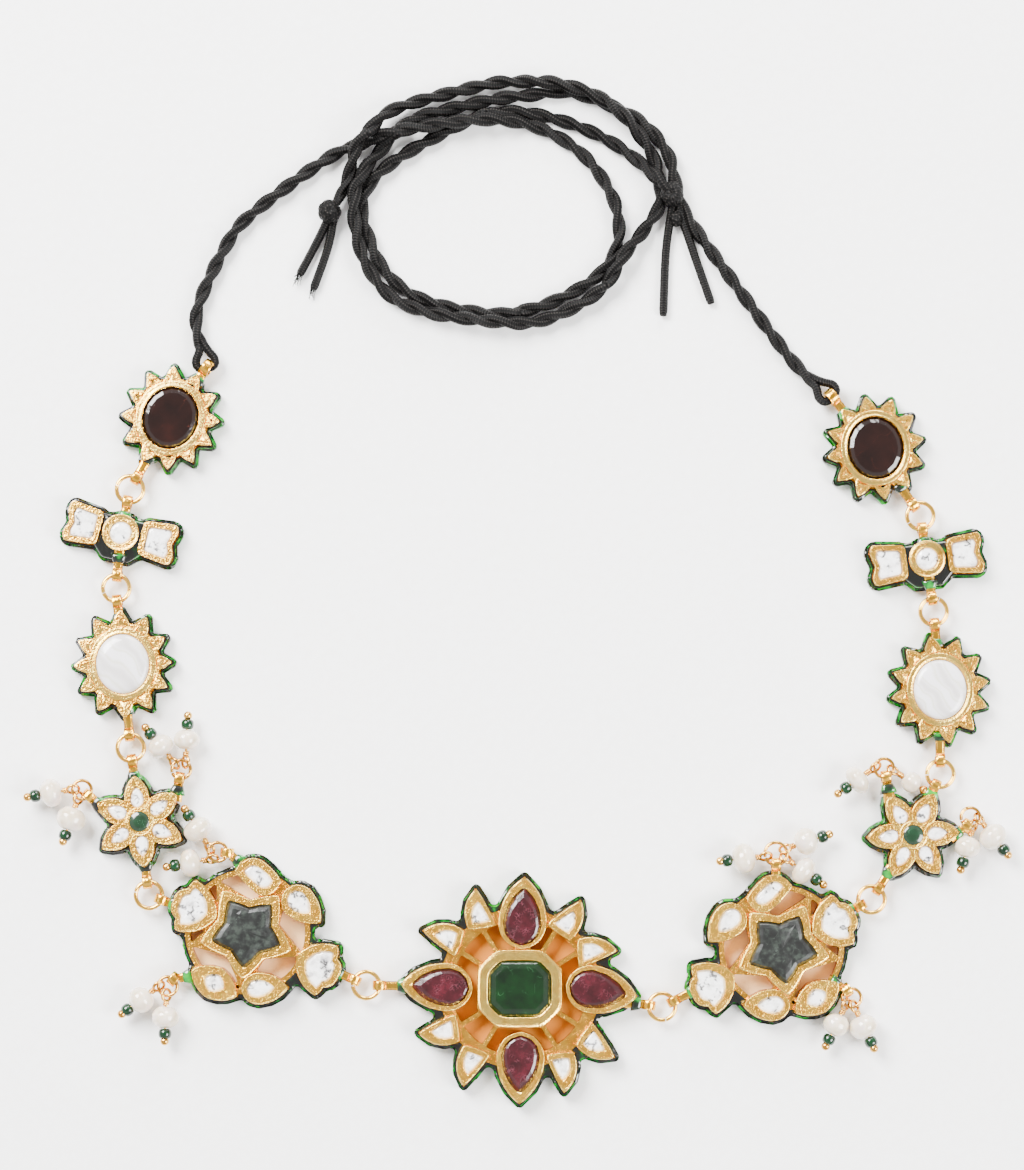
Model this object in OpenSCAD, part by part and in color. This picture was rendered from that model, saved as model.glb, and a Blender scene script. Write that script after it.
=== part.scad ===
// Kundan necklace of nine soldered stations, jump rings, pearl drops and a knotted black cord.
// Millimetres. X runs to the right, Y towards the cord, Z up from the table that it lies on.
// The zero point is the middle of the centre medallion's flat back.

/* [Heights] */
// Height of the medallion and the two stars
high_station = 4.2; // [3.8:0.1:5]
// Height of the flowers and the suns
middle_station = 3.6; // [3.4:0.1:4.4]
// Height of the bows
low_station = 3.4; // [3.4:0.1:4]
// How deep the stones sit below a bezel's crest
pocket_depth = 1.4; // [1.2:0.1:1.6]
// Height of the jump rings above the table
link_height = 2.2; // [2:0.1:2.4]
// Height of the pearl drops' jump rings above the table
drop_height = 2.45; // [2.45:0.05:2.8]

/* [Jump rings and bails] */
// Middle radius of a jump ring of the chain
link_radius = 2.4; // [2.3:0.1:2.6]
// Wire of a jump ring of the chain
link_wire = 0.8; // [0.6:0.1:0.9]
// Middle radius of a pearl drop's jump ring
drop_ring_radius = 1.7; // [1.6:0.1:1.8]
// Middle radius of the jump ring on top of the right star
wide_ring_radius = 2; // [1.9:0.1:2]
// Wire of a pearl drop's jump ring
drop_ring_wire = 0.55; // [0.45:0.05:0.6]
// Width of a bail's strap
bail_width = 1.6; // [1.2:0.1:1.8]
// Thickness of a bail's strap
bail_thickness = 1; // [0.8:0.1:1.2]
// Radius of the hole in a bail
bail_hole = 0.78; // [0.75:0.01:0.85]
// Outer radius of a bail's loop
bail_radius = 1.25; // [1.2:0.05:1.35]
// Radius of the hole in the cord's bails
cord_bail_hole = 1.05; // [1:0.05:1.1]
// Outer radius of the cord's bails
cord_bail_radius = 1.6; // [1.55:0.05:1.7]

/* [Medallion] */
// Length of the eight-sided bezel
octagon_length = 15.1; // [14.6:0.1:15.4]
// Width of the eight-sided bezel
octagon_width = 13.9; // [13.4:0.1:14.2]
// How much its corners are cut off
octagon_cut = 3.4; // [3:0.1:3.8]
// Wall of the eight-sided bezel
octagon_wall = 1.8; // [1.4:0.1:2]
// Length of the red stones' bezels
ruby_length = 13; // [12.6:0.1:13.2]
// Width of the red stones' bezels
ruby_width = 8.7; // [8.4:0.1:8.8]
// Wall of the red stones' bezels
ruby_wall = 0.85; // [0.7:0.05:1]
// Length of the half leaves' bezels
half_leaf_length = 7; // [6.8:0.1:7.2]
// Width of the half leaves' bezels
half_leaf_width = 5; // [4.8:0.1:5.2]
// Wall of the half leaves' bezels
half_leaf_wall = 0.8; // [0.7:0.05:0.95]
// Inner radius of the pierced gallery's band
gallery_radius = 12.2; // [12:0.1:12.4]
// Width of the gallery's band
gallery_band = 2.2; // [2:0.1:2.4]
// Width of the gallery's bars
gallery_bar = 0.7; // [0.6:0.1:0.9]
// Angle of the gallery's bars from each diagonal
gallery_spread = 13; // [11:1:15]

/* [Stars] */
// Tip radius of the star bezel
star_tip = 8.7; // [8.4:0.1:9]
// Notch radius of the star bezel
star_notch = 5.7; // [5.4:0.1:6]
// Wall of the star bezel at a tip
star_tip_wall = 2; // [1.8:0.1:2.2]
// Wall of the star bezel at a notch
star_notch_wall = 1.2; // [1:0.1:1.3]
// Outer radius of the star's round rim
star_rim = 11.2; // [11:0.1:11.4]
// Width of the star's round rim
star_rim_band = 0.8; // [0.7:0.1:1.2]
// Wall of the bezels round the star
star_cell_wall = 1.15; // [1:0.05:1.25]

/* [Flowers] */
// Length of a petal
petal_length = 6.5; // [6.3:0.1:6.7]
// Width of a petal
petal_width = 4.5; // [4.3:0.1:4.7]
// Radius at which a petal's middle lies
petal_reach = 5.05; // [4.9:0.05:5.1]
// Wall of a petal's bezel
petal_wall = 0.95; // [0.85:0.05:1]
// Radius of the flower's middle bezel
flower_bezel = 2.25; // [2.2:0.05:2.4]
// Radius of the flower's green stone
flower_stone = 1.75; // [1.6:0.05:1.8]

/* [Suns] */
// How deep the rays are sunk
ray_depth = 0.5; // [0.3:0.1:0.8]
// Border of a sunken ray
ray_border = 0.55; // [0.45:0.05:0.65]
// Half the angle of the valley between two rays
ray_valley = 3.5; // [2.5:0.5:4]

/* [Bows] */
// Radius of the bow's middle bezel
bow_bezel = 3.3; // [3.1:0.1:3.5]
// Radius of the bow's middle stone
bow_stone = 2.1; // [1.9:0.1:2.3]
// Length of a wing
wing_length = 6.4; // [6.2:0.1:6.6]
// Width of a wing
wing_width = 7.4; // [7.2:0.1:7.6]
// Radius at which a wing's middle lies
wing_reach = 6.9; // [6.8:0.1:7]
// Wall of a wing's bezel
wing_wall = 0.95; // [0.8:0.05:1]
// Radius of a wing's corners
wing_round = 1; // [0.6:0.1:1.1]
// How far the enamelled body hangs below the bow's middle
bow_drop = 4.7; // [4.4:0.1:5]

/* [Enamel] */
// Thickness of the enamel round a station
enamel = 0.3; // [0.25:0.05:0.35]
// Radius to which it fills the notches of the medallion and the stars
deep_fill = 1.2; // [0.6:0.1:1.4]
// Radius to which it fills the notches of the flowers and bows
small_fill = 0.8; // [0.4:0.1:0.9]
// Radius to which it fills the notches between a sun's rays
ray_fill = 0.35; // [0.3:0.05:0.5]

/* [Pearl drops] */
// Middle radius of the loop on a pin
pin_loop = 1.05; // [1:0.05:1.15]
// Wire of a pin's loop
loop_wire = 0.4; // [0.3:0.05:0.45]
// Wire of a pin
pin_wire = 0.45; // [0.35:0.05:0.5]
// Distance of a pearl's middle from its loop's middle
pearl_reach = 4; // [3.9:0.05:4.1]
// Distance of a pin's ball from the pearl's middle
ball_reach = 4.3; // [4.2:0.1:4.5]
// Radius of a pin's ball
ball_radius = 0.7; // [0.5:0.1:0.8]
// Radius of a pearl's bore
pearl_bore = 0.4; // [0.38:0.01:0.45]

/* [Cord] */
// Diameter of the twisted cord
cord_diameter = 2; // [1.6:0.1:2]
// Diameter of the one strand that passes through a bail
strand_diameter = 1.4; // [1.2:0.1:1.5]
// Diameter of a tail
tail_diameter = 1.5; // [1.2:0.1:1.6]
// Diameter of the left knot
knot_left_diameter = 4.4; // [4.2:0.1:4.8]
// Diameter of the right knot
knot_right_diameter = 3.6; // [3.4:0.1:3.8]

/* [Hidden] */

GOLD = [0.87, 0.68, 0.36];
GREEN = [0.1, 0.22, 0.12];
WHITE = [0.93, 0.92, 0.9];
RED = [0.43, 0.12, 0.18];
BLACK = [0.1, 0.09, 0.09];
LEFT = 0;
RIGHT = 1;

// Middle of each kind of station, left and right
MEDALLION = [0, 0];
STARS = [[-48.9, 10.2], [47.1, 7.3]];
FLOWERS = [[-68.3, 30], [70.7, 27.6]];
PEARL_SUNS = [[-71.3, 58.3], [75.5, 53.7]];
BOWS = [[-71.7, 81.9], [73.2, 77.2]];
GARNET_SUNS = [[-62.7, 102.5], [63.9, 97.1]];

// Middle of each jump ring of the chain, from the cord down
LINKS = [
    [[-70.1, 89.8], [-72.6, 72], [-70, 43.3], [-66.7, 16.8], [-27.6, 0.6]],
    [[72.1, 85], [74.5, 67.8], [75.7, 38.6], [63.3, 16], [25.6, -3.3]]
];

// Middle of each cord bail's hole
CORD_EYES = [[-56.3, 111.6], [56.2, 106.4]];

// A setting's outline: share of the wall lost at its tip, at its back, then corners and the bulge of
// the side after each, in half lengths and half widths with the tip at +1
TIP_SHARE = 0;
BACK_SHARE = 1;
CORNERS = 2;
pear = [2, 0.7, [[1, 0, 0.12], [-0.3, 1, 0.19], [-1, 0, 0.19], [-0.3, -1, 0.12]]];
leaf = [2.2, 2.2, [[1, 0, 0.12], [0, 1, 0.12], [-1, 0, 0.12], [0, -1, 0.12]]];
tulip = [
    0.9, 1.5,
    [[-1, 0, 0.16], [0.45, -1, 0.1], [0.6, -0.6, 0.2], [1, 0, 0.2], [0.6, 0.58, 0.1], [0.4, 1, 0.16]]
];
round_table = [
    1, 1,
    [
        [-1, -0.7, 0.04], [0.55, -1, 0.12], [1, -0.25, 0.08],
        [0.95, 0.7, 0.05], [-0.3, 1, 0.1], [-0.85, 0.5, 0.08]
    ]
];
wing = [
    0.95, 0.9,
    [
        [-1, -0.8, 0], [0.88, -1, 0], [1, -0.55, 0], [0.77, 0.05, 0],
        [1, 0.6, 0], [0.88, 1, 0], [-1, 0.85, 0]
    ]
];
half_leaf_a = [2.4, 1, [[1, 0, 0.03], [-1, 1, 0.04], [-1, -1, 0.17]]];
half_leaf_b = [2.4, 1, [[1, 0, 0.17], [-1, 1, 0.04], [-1, -1, 0.03]]];

// Columns of a setting: outline, length, width, angle and reach of its middle, direction of its tip, wall
SHAPE = 0;
LONG = 1;
WIDE = 2;
ANGLE = 3;
REACH = 4;
POINTS_TO = 5;
WALL = 6;
ruby_cells = [
    [pear, ruby_length, ruby_width, 87.6, 13.6, 87.2, ruby_wall],
    [pear, ruby_length, ruby_width, 178.4, 14.9, 176, ruby_wall],
    [pear, ruby_length, ruby_width, -1.4, 14.7, -9.5, ruby_wall],
    [pear, ruby_length, ruby_width, -89.6, 14.2, -91.3, ruby_wall]
];
half_leaf_cells = [
    [half_leaf_a, half_leaf_length, half_leaf_width, 146.7, gallery_radius + 4.7, 161.5, half_leaf_wall],
    [half_leaf_b, half_leaf_length, half_leaf_width, 116.7, gallery_radius + 4, 99.1, half_leaf_wall],
    [half_leaf_a, half_leaf_length, half_leaf_width, 55.3, gallery_radius + 3.6, 55, half_leaf_wall],
    [half_leaf_b, half_leaf_length, half_leaf_width, 25.1, gallery_radius + 3.3, 3, half_leaf_wall],
    [half_leaf_a, half_leaf_length, half_leaf_width, -35.6, gallery_radius + 5.4, -37.5, half_leaf_wall],
    [half_leaf_b, half_leaf_length, half_leaf_width, -63.4, gallery_radius + 4.8, -83.8, half_leaf_wall],
    [half_leaf_a, half_leaf_length, half_leaf_width, -121.9, gallery_radius + 4.6, -110, half_leaf_wall],
    [half_leaf_b, half_leaf_length, half_leaf_width, -152.9, gallery_radius + 4.3, -172.6, half_leaf_wall]
];
star_cells_left = [
    [round_table, 7.9, 5.2, 78.6, 10.2, -38, star_cell_wall],
    [pear, 8.6, 6.1, 24.6, 11, -44, star_cell_wall],
    [tulip, 8.4, 9.7, -26.3, 14, -26, star_cell_wall],
    [pear, 8.5, 5.7, -72.5, 10.6, 2, star_cell_wall],
    [leaf, 9.5, 5.9, -122.9, 10.9, -31, star_cell_wall],
    [tulip, 8.4, 9.7, 156.4, 10.2, 157, star_cell_wall]
];
// The right star is the left one seen in a mirror, turned a little
STAR_TURN = 2;
STAR_ANGLE = [48.8, 180 - 48.8 + STAR_TURN];
PETAL_ANGLE = [36.4, 3.5];

// Columns of a sun: ray angle, long and short half axis of the tips, direction of the long axis,
// notch share, half axes of the stone, width of its bezel
RAY_ANGLE = 0;
TIP_LONG = 1;
TIP_SHORT = 2;
LONG_AXIS = 3;
NOTCH_SHARE = 4;
STONE_LONG = 5;
STONE_SHORT = 6;
BEZEL_WALL = 7;
garnet_sun = [[-3.5, 9.3, 8.7, 70, 0.77, 5.6, 5, 0.75], [11, 9.3, 8.7, 101, 0.77, 5.6, 5, 0.75]];
pearl_sun = [[2.5, 9.7, 8.7, 94.5, 0.77, 5.4, 4.8, 0.7], [10, 9.7, 8.7, 95, 0.77, 5.4, 4.8, 0.7]];
RAYS = 12;
BOW_TURN = [-13.9, 7.4];

// Pearl bails: middle of the hole, direction away from the station, length of the strap, and the drop
// whose ring it holds
EYE = 0;
OUTWARD = 1;
STRAP = 2;
HOLDS = 3;
flower_bails = [
    [[[-61.18, 37.71], 80, 3.8, 0], [[-77.42, 34.62], 140, 3.4, 2]],
    [[[65.87, 37.96], 100, 4.2, 0], [[80.37, 29.26], 35, 3.4, 2]]
];
star_bails = [
    [[[-52.6, 24.4], 145, 3.4, 0], [[-62.2, 1.7], 190, 4, 2]],
    [[[46.1, 22.25], 90, 2.2, 0], [[58.8, -0.3], -28, 3.6, 3]]
];

// Pearl drops: middle of the jump ring, its radius, angle of the pin's loop on the ring, direction of the
// pin, diameter of the pearl, its thickness along the pin, distance of the pin's ball from its middle
RING = 0;
RING_RADIUS = 1;
LOOP_AT = 2;
HANGS_TO = 3;
PEARL = 4;
THICK = 5;
BALL_AT = 6;
bare_ball = 2.55;
flower_drops = [
    [
        [[-60.89, 39.39], drop_ring_radius, 138, 129, 4.7, 4, ball_reach],
        [[-60.89, 39.39], drop_ring_radius, 60, 87, 4.7, 3.8, ball_reach],
        [[-78.72, 35.71], drop_ring_radius, -185, -170, 5, 4.1, ball_reach],
        [[-78.72, 35.71], drop_ring_radius, -114, -109, 5.3, 4.5, ball_reach]
    ],
    [
        [[65.57, 39.64], drop_ring_radius, 175, -145, 5.4, 3.4, ball_reach],
        [[65.57, 39.64], drop_ring_radius, -12, -33, 3.8, 3.6, bare_ball],
        [[81.09, 30.8], drop_ring_radius, -70, -106, 4.7, 4.1, ball_reach],
        [[81.09, 30.8], drop_ring_radius, -10, -52, 5.1, 4.5, ball_reach]
    ]
];
star_drops = [
    [
        [[-54.3, 24.55], drop_ring_radius, -128, -170, 5.2, 3.9, ball_reach],
        [[-54.3, 24.55], drop_ring_radius, 155, 122, 5.2, 4.2, ball_reach],
        [[-63.3, 0.4], drop_ring_radius, -180, -143, 4.9, 4.4, ball_reach],
        [[-63.3, 0.4], drop_ring_radius, -98, -92, 5.2, 4.2, ball_reach]
    ],
    [
        [[46.1, 24.25], wide_ring_radius, -165, -174, 5.4, 4.4, ball_reach],
        [[46.1, 24.25], wide_ring_radius, 28, 18, 5.1, 4.4, ball_reach],
        [[46.1, 24.25], wide_ring_radius, -25, -35, 5.1, 3.8, ball_reach],
        [[59.7, -1.7], drop_ring_radius, -130, -116, 4.8, 4.2, ball_reach],
        [[59.7, -1.7], drop_ring_radius, -72, -65, 5.2, 4.4, ball_reach]
    ]
];

// The cord's routes, from each cord bail to the knot in which that end stops
cord_left_route = [
    [-55.7, 111.2, 2.4], [-56.3, 111.6, 2.2], [-57.2, 112.5, 2.1], [-58.2, 116, 1.4], [-58.2, 121.7, 1.3],
    [-52.8, 134, 1.3], [-47.8, 139.9, 1.3], [-34.5, 149.6, 1.3], [-28, 152.3, 1.2], [-23.5, 153.7, 3.5],
    [-17.2, 154.8, 3.4], [-12.2, 155.6, 3.5], [-6, 156.1, 3.3], [0.3, 155.8, 1.9], [6, 153.9, 1.3],
    [11.4, 150.2, 1.3], [15.6, 144.8, 1.3], [17.7, 139.4, 1.3], [17.5, 133.4, 1.3], [14.3, 128.6, 1.3],
    [8.7, 125, 1.3], [2.8, 122.6, 1.3], [-3.5, 121.5, 1.2], [-9.3, 122.1, 1.2], [-15, 123.3, 1.3],
    [-20.6, 125.7, 1.3], [-24.9, 130.2, 1.3], [-27.3, 135.6, 1.3], [-28.4, 140.8, 1.2], [-26.6, 145.5, 1.2],
    [-22.2, 149.3, 1.3], [-17.2, 152.3, 1.3], [-12.2, 154.9, 1.2], [-7.1, 157.2, 1.2], [-0.3, 157.9, 1.3],
    [7.6, 156.3, 1.3], [15.6, 153, 1.3], [21.7, 148.7, 1.8], [24.6, 145.5, 3.6], [26.5, 143.5, 3.5]
];
cord_right_route = [
    [56.8, 106.9, 2.4], [56.2, 106.4, 2.2], [54.6, 105.1, 2.1], [52.6, 106.9, 1.7], [49.2, 113, 1.3],
    [38.8, 126.9, 1.3], [30.1, 139.2, 1.5], [28.2, 144.4, 2], [26.7, 150.3, 1.4], [22.2, 155.9, 1.3],
    [15.4, 159.5, 1.3], [8.4, 161.5, 1.3], [1.9, 160.9, 1.3], [-4.8, 160.1, 1.3], [-17.9, 157, 1.2],
    [-21.9, 154.4, 1.1], [-25.3, 150.7, 1.2], [-28.2, 146.7, 2.6], [-29.8, 142.2, 3.2], [-29.4, 136.1, 2.8],
    [-27.5, 130, 2.5], [-23.1, 124.4, 2.4], [-16.8, 121.7, 2.4], [-10.4, 120.5, 3], [-3.9, 119.8, 3],
    [2.6, 119.9, 2], [9.3, 122.3, 2], [15.2, 126.2, 2.3], [18.8, 131.8, 3], [22.2, 136.3, 1.6],
    [25.1, 140.8, 1.3], [25.3, 145.1, 1.2], [24.2, 149.4, 1.3], [21.9, 153, 2.4], [18.4, 157, 3.6],
    [14.1, 160.2, 3.5], [9.4, 162, 3.5], [4.8, 162.9, 3.3], [-0.3, 163.3, 1.5], [-6.2, 162.8, 1.3],
    [-21.5, 158.6, 2.2], [-26.4, 154.7, 4], [-29.3, 151.1, 3.8], [-30.9, 145.8, 1.8], [-33, 141.3, 2.1]
];
knot_left_place = [-34.2, 139.8, 2.25];
knot_left_tails = [
    [[-34.6, 138.2, 1.2], [-36.6, 134.4, 0.8], [-39.7, 128.6, 0.8]],
    [[-33.4, 138.2, 1.2], [-34.6, 133.4, 0.8], [-37.2, 126, 0.8]]
];
knot_right_places = [[27.6, 144.3, 2.1], [27.9, 141.2, 1.95]];
knot_right_tails = [
    [[27.5, 140.4, 1.4], [26.4, 133, 0.8], [25.9, 121.2, 0.8]],
    [[28.5, 140.4, 1.4], [31.4, 132.5, 0.8], [34.6, 123.4, 0.8]]
];

SIDE_STEPS = 3;
CLEAR = 0.06;
plate_overlap = 0.2;
notch_fillet = 0.3;
ledge = 0.06;
tube_sides = 8;

function place(angle, reach) = reach * [cos(angle), sin(angle)];
function turned(p, angle) = [p[0] * cos(angle) - p[1] * sin(angle), p[0] * sin(angle) + p[1] * cos(angle)];
function unit(v) = v / norm(v);
function bearing(v) = atan2(v[1], v[0]);
function side_points(a, b, bulge, steps) = [
    for (i = [0 : steps - 1])
        let (t = i / steps, out = [b[1] - a[1], a[0] - b[0]])
            a + (b - a) * t + out * 4 * t * (1 - t) * bulge
];
function rounded_sides(corners, steps) = [
    for (k = [0 : len(corners) - 1])
        let (a = corners[k], b = corners[(k + 1) % len(corners)])
            each side_points([a[0], a[1]], [b[0], b[1]], a[2], a[2] == 0 ? 1 : steps)
];
function mirrored(shape) = [
    shape[TIP_SHARE], shape[BACK_SHARE],
    [for (k = [len(shape[CORNERS]) - 1 : -1 : 0])
        let (a = shape[CORNERS][k], before = shape[CORNERS][(k + len(shape[CORNERS]) - 1) % len(shape[CORNERS])])
            [a[0], -a[1], before[2]]]
];
// Points of a setting's outline, a given distance inside its outer edge
function cell_points(cell, inset) =
    let (
        shape = cell[SHAPE],
        half = (cell[LONG] - inset * (shape[TIP_SHARE] + shape[BACK_SHARE])) / 2,
        across = cell[WIDE] / 2 - inset,
        shift = -inset * (shape[TIP_SHARE] - shape[BACK_SHARE]) / 2,
        middle = place(cell[ANGLE], cell[REACH]),
        local = rounded_sides([for (c = shape[CORNERS]) [c[0] * half + shift, c[1] * across, c[2]]], SIDE_STEPS)
    ) [for (p = local) middle + turned(p, cell[POINTS_TO])];
function cell_middle(cell) = place(cell[ANGLE], cell[REACH]);
function star_cells(side) = [
    for (c = star_cells_left)
        side == LEFT ? c : [
            mirrored(c[SHAPE]), c[LONG], c[WIDE], 180 - c[ANGLE] + STAR_TURN, c[REACH],
            180 - c[POINTS_TO] + STAR_TURN, c[WALL]
        ]
];
function petal_cells(side) = [
    for (k = [0 : 5])
        [pear, petal_length, petal_width, PETAL_ANGLE[side] + 60 * k, petal_reach, PETAL_ANGLE[side] + 60 * k, petal_wall]
];
function wing_cells(side) = [
    for (k = [0, 1])
        [wing, wing_length, wing_width, BOW_TURN[side] + 180 * k, wing_reach, BOW_TURN[side] + 180 * k, wing_wall]
];
function star_points(side, tip, notch, bulge) = rounded_sides([
    for (k = [0 : 9])
        let (p = place(STAR_ANGLE[side] + 36 * k, k % 2 == 0 ? tip : notch)) [p[0], p[1], bulge]
], 2);
function octagon_points(inset) =
    let (x = octagon_length / 2 - inset, y = octagon_width / 2 - inset, c = octagon_cut - inset * 0.59)
        [[x, y - c], [x - c, y], [c - x, y], [-x, y - c], [-x, c - y], [c - x, -y], [x - c, -y], [x, c - y]];
function ellipse_points(long, short, axis, n) = [
    for (k = [0 : n - 1]) turned([long * cos(360 * k / n), short * sin(360 * k / n)], axis)
];
function circle_points(middle, radius, n) = [for (k = [0 : n - 1]) middle + place(360 * (k + 0.5) / n, radius)];
function ellipse_radius(long, short, angle) = long * short / norm([short * cos(angle), long * sin(angle)]);
function sun_radius(sun, angle) = ellipse_radius(sun[TIP_LONG], sun[TIP_SHORT], angle - sun[LONG_AXIS]);
function sun_points(sun) = [
    for (k = [0 : RAYS - 1], turn = [0, 180 / RAYS - ray_valley, 180 / RAYS + ray_valley])
        let (a = sun[RAY_ANGLE] + 360 * k / RAYS + turn)
            place(a, sun_radius(sun, a) * (turn == 0 ? 1 : sun[NOTCH_SHARE]))
];

// A stone: copies of one outline at the given shares and heights, from its floor to its table
module stone(points, middle, levels) {
    n = len(points);
    rings = [for (l = levels) each [for (p = points) [each (middle + (p - middle) * l[0]), l[1]]]];
    sides = [
        for (r = [0 : len(levels) - 2], k = [0 : n - 1])
            [r * n + k, (r + 1) * n + k, (r + 1) * n + (k + 1) % n, r * n + (k + 1) % n]
    ];
    bottom = [for (k = [0 : n - 1]) k];
    top = [for (k = [n - 1 : -1 : 0]) (len(levels) - 1) * n + k];
    polyhedron(points = rings, faces = concat([bottom], [top], sides), convexity = 4);
}
function flat_cut(height) =
    let (floor = height - pocket_depth + CLEAR)
        [[0.96, floor], [1, floor + 0.4], [1, floor + 0.7], [0.68, height - 0.2]];
function high_cut(height) =
    let (floor = height - pocket_depth + CLEAR)
        [[0.9, floor], [1, floor + 0.5], [0.84, height - 0.15], [0.6, height + 0.2]];
function dome(height, rise) =
    let (floor = height - pocket_depth + CLEAR, base = height - 0.5)
        [[1, floor], [1, base], [0.92, base + rise * 0.4], [0.72, base + rise * 0.72], [0.4, base + rise]];

// A bail: a strap from the station to a round loop whose hole lies level, across the strap
// Columns of a bail: middle of its hole, direction and length of the strap, height, direction across the hole
FACES = 1;
LENGTH = 2;
LEVEL = 3;
TOWARDS = 4;
module bail_body(bail, outer) {
    translate([each bail[EYE], bail[LEVEL]]) {
        rotate([90, 0, bail[TOWARDS]]) cylinder(h = bail_width, r = outer, center = true, $fn = 32);
        rotate([0, 0, bail[FACES]]) translate([-bail[LENGTH], -bail_width / 2, -bail_thickness / 2])
            cube([bail[LENGTH] - 0.2, bail_width, bail_thickness]);
    }
}
module bail_hole_cut(bail, hole) {
    translate([each bail[EYE], bail[LEVEL]]) rotate([90, 0, bail[TOWARDS]])
        cylinder(h = bail_width + 1.2, r = hole, center = true, $fn = 32);
}
module bail_gap(bail) {
    side = bail_width / 2 + CLEAR;
    translate([each bail[EYE], 0]) {
        rotate([0, 0, bail[FACES]]) translate([-bail[LENGTH] - 1, -side, -1]) cube([bail[LENGTH] + 1, 2 * side, 8]);
        rotate([0, 0, bail[TOWARDS]]) translate([-bail_radius - CLEAR, -side, -1])
            cube([2 * bail_radius + 2 * CLEAR, 2 * side, 8]);
    }
}
// Bail for a jump ring of the chain, whose strap is rooted at the given distance from the station's middle
function link_bail(middle, ring, root) =
    let (angle = bearing(ring - middle), reach = norm(ring - middle) - link_radius)
        [middle + place(angle, reach), angle, reach - root, link_height, angle];
function pearl_bail(row, drops) =
    [row[EYE], row[OUTWARD], row[STRAP], drop_height, bearing(drops[row[HOLDS]][RING] - row[EYE])];
function cord_bail(middle, eye, root) =
    [eye, bearing(eye - middle), norm(eye - middle) - root, link_height, bearing(eye - middle)];

// A station's metal: a plate with its gaps cut through, raised bezels and bails
module station_metal(height, bails, cord_bails) {
    plate = height - pocket_depth;
    difference() {
        union() {
            linear_extrude(plate)
                offset(r = -notch_fillet, $fn = 12) offset(r = notch_fillet + ledge, $fn = 12) children(0);
            translate([0, 0, plate - plate_overlap]) linear_extrude(pocket_depth + plate_overlap) children(1);
            for (b = bails) bail_body(b, bail_radius);
            for (b = cord_bails) bail_body(b, cord_bail_radius);
        }
        for (b = bails) bail_hole_cut(b, bail_hole);
        for (b = cord_bails) bail_hole_cut(b, cord_bail_hole);
    }
}
// A station's enamel: a band round the plate's outer edge, cut away at the bails
module station_enamel(height, bails, fill) {
    difference() {
        translate([0, 0, 0.2]) linear_extrude(height - pocket_depth - 0.35) difference() {
            offset(r = -fill, $fn = 16) offset(r = fill + ledge + CLEAR + enamel, $fn = 16) children(0);
            offset(r = -notch_fillet, $fn = 12) offset(r = notch_fillet + ledge + CLEAR, $fn = 12) children(0);
        }
        for (b = bails) bail_gap(b);
    }
}
module cells(list) {
    for (c = list) polygon(cell_points(c, 0));
}
module cell_walls(list) {
    difference() {
        cells(list);
        for (c = list) polygon(cell_points(c, c[WALL]));
    }
}
module cell_stones(list, levels) {
    for (c = list) stone(cell_points(c, c[WALL] + CLEAR), cell_middle(c) + place(c[POINTS_TO], -0.3), levels);
}
module disc(radius) {
    polygon(circle_points([0, 0], radius, 48));
}

// Medallion
medallion_bails = [link_bail(MEDALLION, LINKS[LEFT][4], 19), link_bail(MEDALLION, LINKS[RIGHT][4], 19)];
module medallion_cells() {
    cells(ruby_cells);
    cells(half_leaf_cells);
    polygon(octagon_points(0));
}
module medallion_frame() {
    color(GOLD) station_metal(high_station, medallion_bails, []) {
        union() {
            medallion_cells();
            difference() {
                disc(gallery_radius + gallery_band);
                disc(gallery_radius);
            }
            for (quarter = [45 : 90 : 315], s = [-1, 1])
                rotate(quarter + s * gallery_spread)
                    translate([octagon_width / 2 - 0.6, -gallery_bar / 2])
                        square([gallery_radius - octagon_width / 2 + 1, gallery_bar]);
        }
        difference() {
            medallion_cells();
            for (c = concat(ruby_cells, half_leaf_cells)) polygon(cell_points(c, c[WALL]));
            polygon(octagon_points(octagon_wall));
        }
    }
}
module medallion_enamel() {
    color(GREEN) station_enamel(high_station, medallion_bails, deep_fill) union() {
        medallion_cells();
        disc(gallery_radius + gallery_band);
    }
}
module medallion_emerald() {
    color([0.09, 0.29, 0.15]) stone(octagon_points(octagon_wall + CLEAR), [0, 0], high_cut(high_station));
}
module medallion_rubies() {
    color(RED) cell_stones(ruby_cells, high_cut(high_station));
}
module medallion_polki() {
    color(WHITE) cell_stones(half_leaf_cells, flat_cut(high_station));
}

// Stars
function star_station_bails(side) = concat(
    [link_bail(STARS[side], LINKS[side][4], 15), link_bail(STARS[side], LINKS[side][3], 12.5)],
    [for (b = star_bails[side]) pearl_bail(b, star_drops[side])]
);
function off(list, middle) = [for (b = list) [b[EYE] - middle, b[FACES], b[LENGTH], b[LEVEL], b[TOWARDS]]];
module star_plan(side) {
    cells(star_cells(side));
    difference() {
        disc(star_rim);
        disc(star_rim - star_rim_band);
    }
    polygon(star_points(side, star_rim - 0.4, star_notch, 0));
}
module star_frame(side) {
    color(GOLD) translate(STARS[side])
        station_metal(high_station, off(star_station_bails(side), STARS[side]), []) {
            star_plan(side);
            difference() {
                union() {
                    cells(star_cells(side));
                    polygon(star_points(side, star_tip, star_notch, 0.04));
                }
                for (c = star_cells(side)) polygon(cell_points(c, c[WALL]));
                polygon(star_points(side, star_tip - star_tip_wall, star_notch - star_notch_wall, 0.04));
            }
        }
}
module star_enamel(side) {
    color(GREEN) translate(STARS[side])
        station_enamel(high_station, off(star_station_bails(side), STARS[side]), deep_fill) union() {
            cells(star_cells(side));
            disc(star_rim);
        }
}
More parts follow.
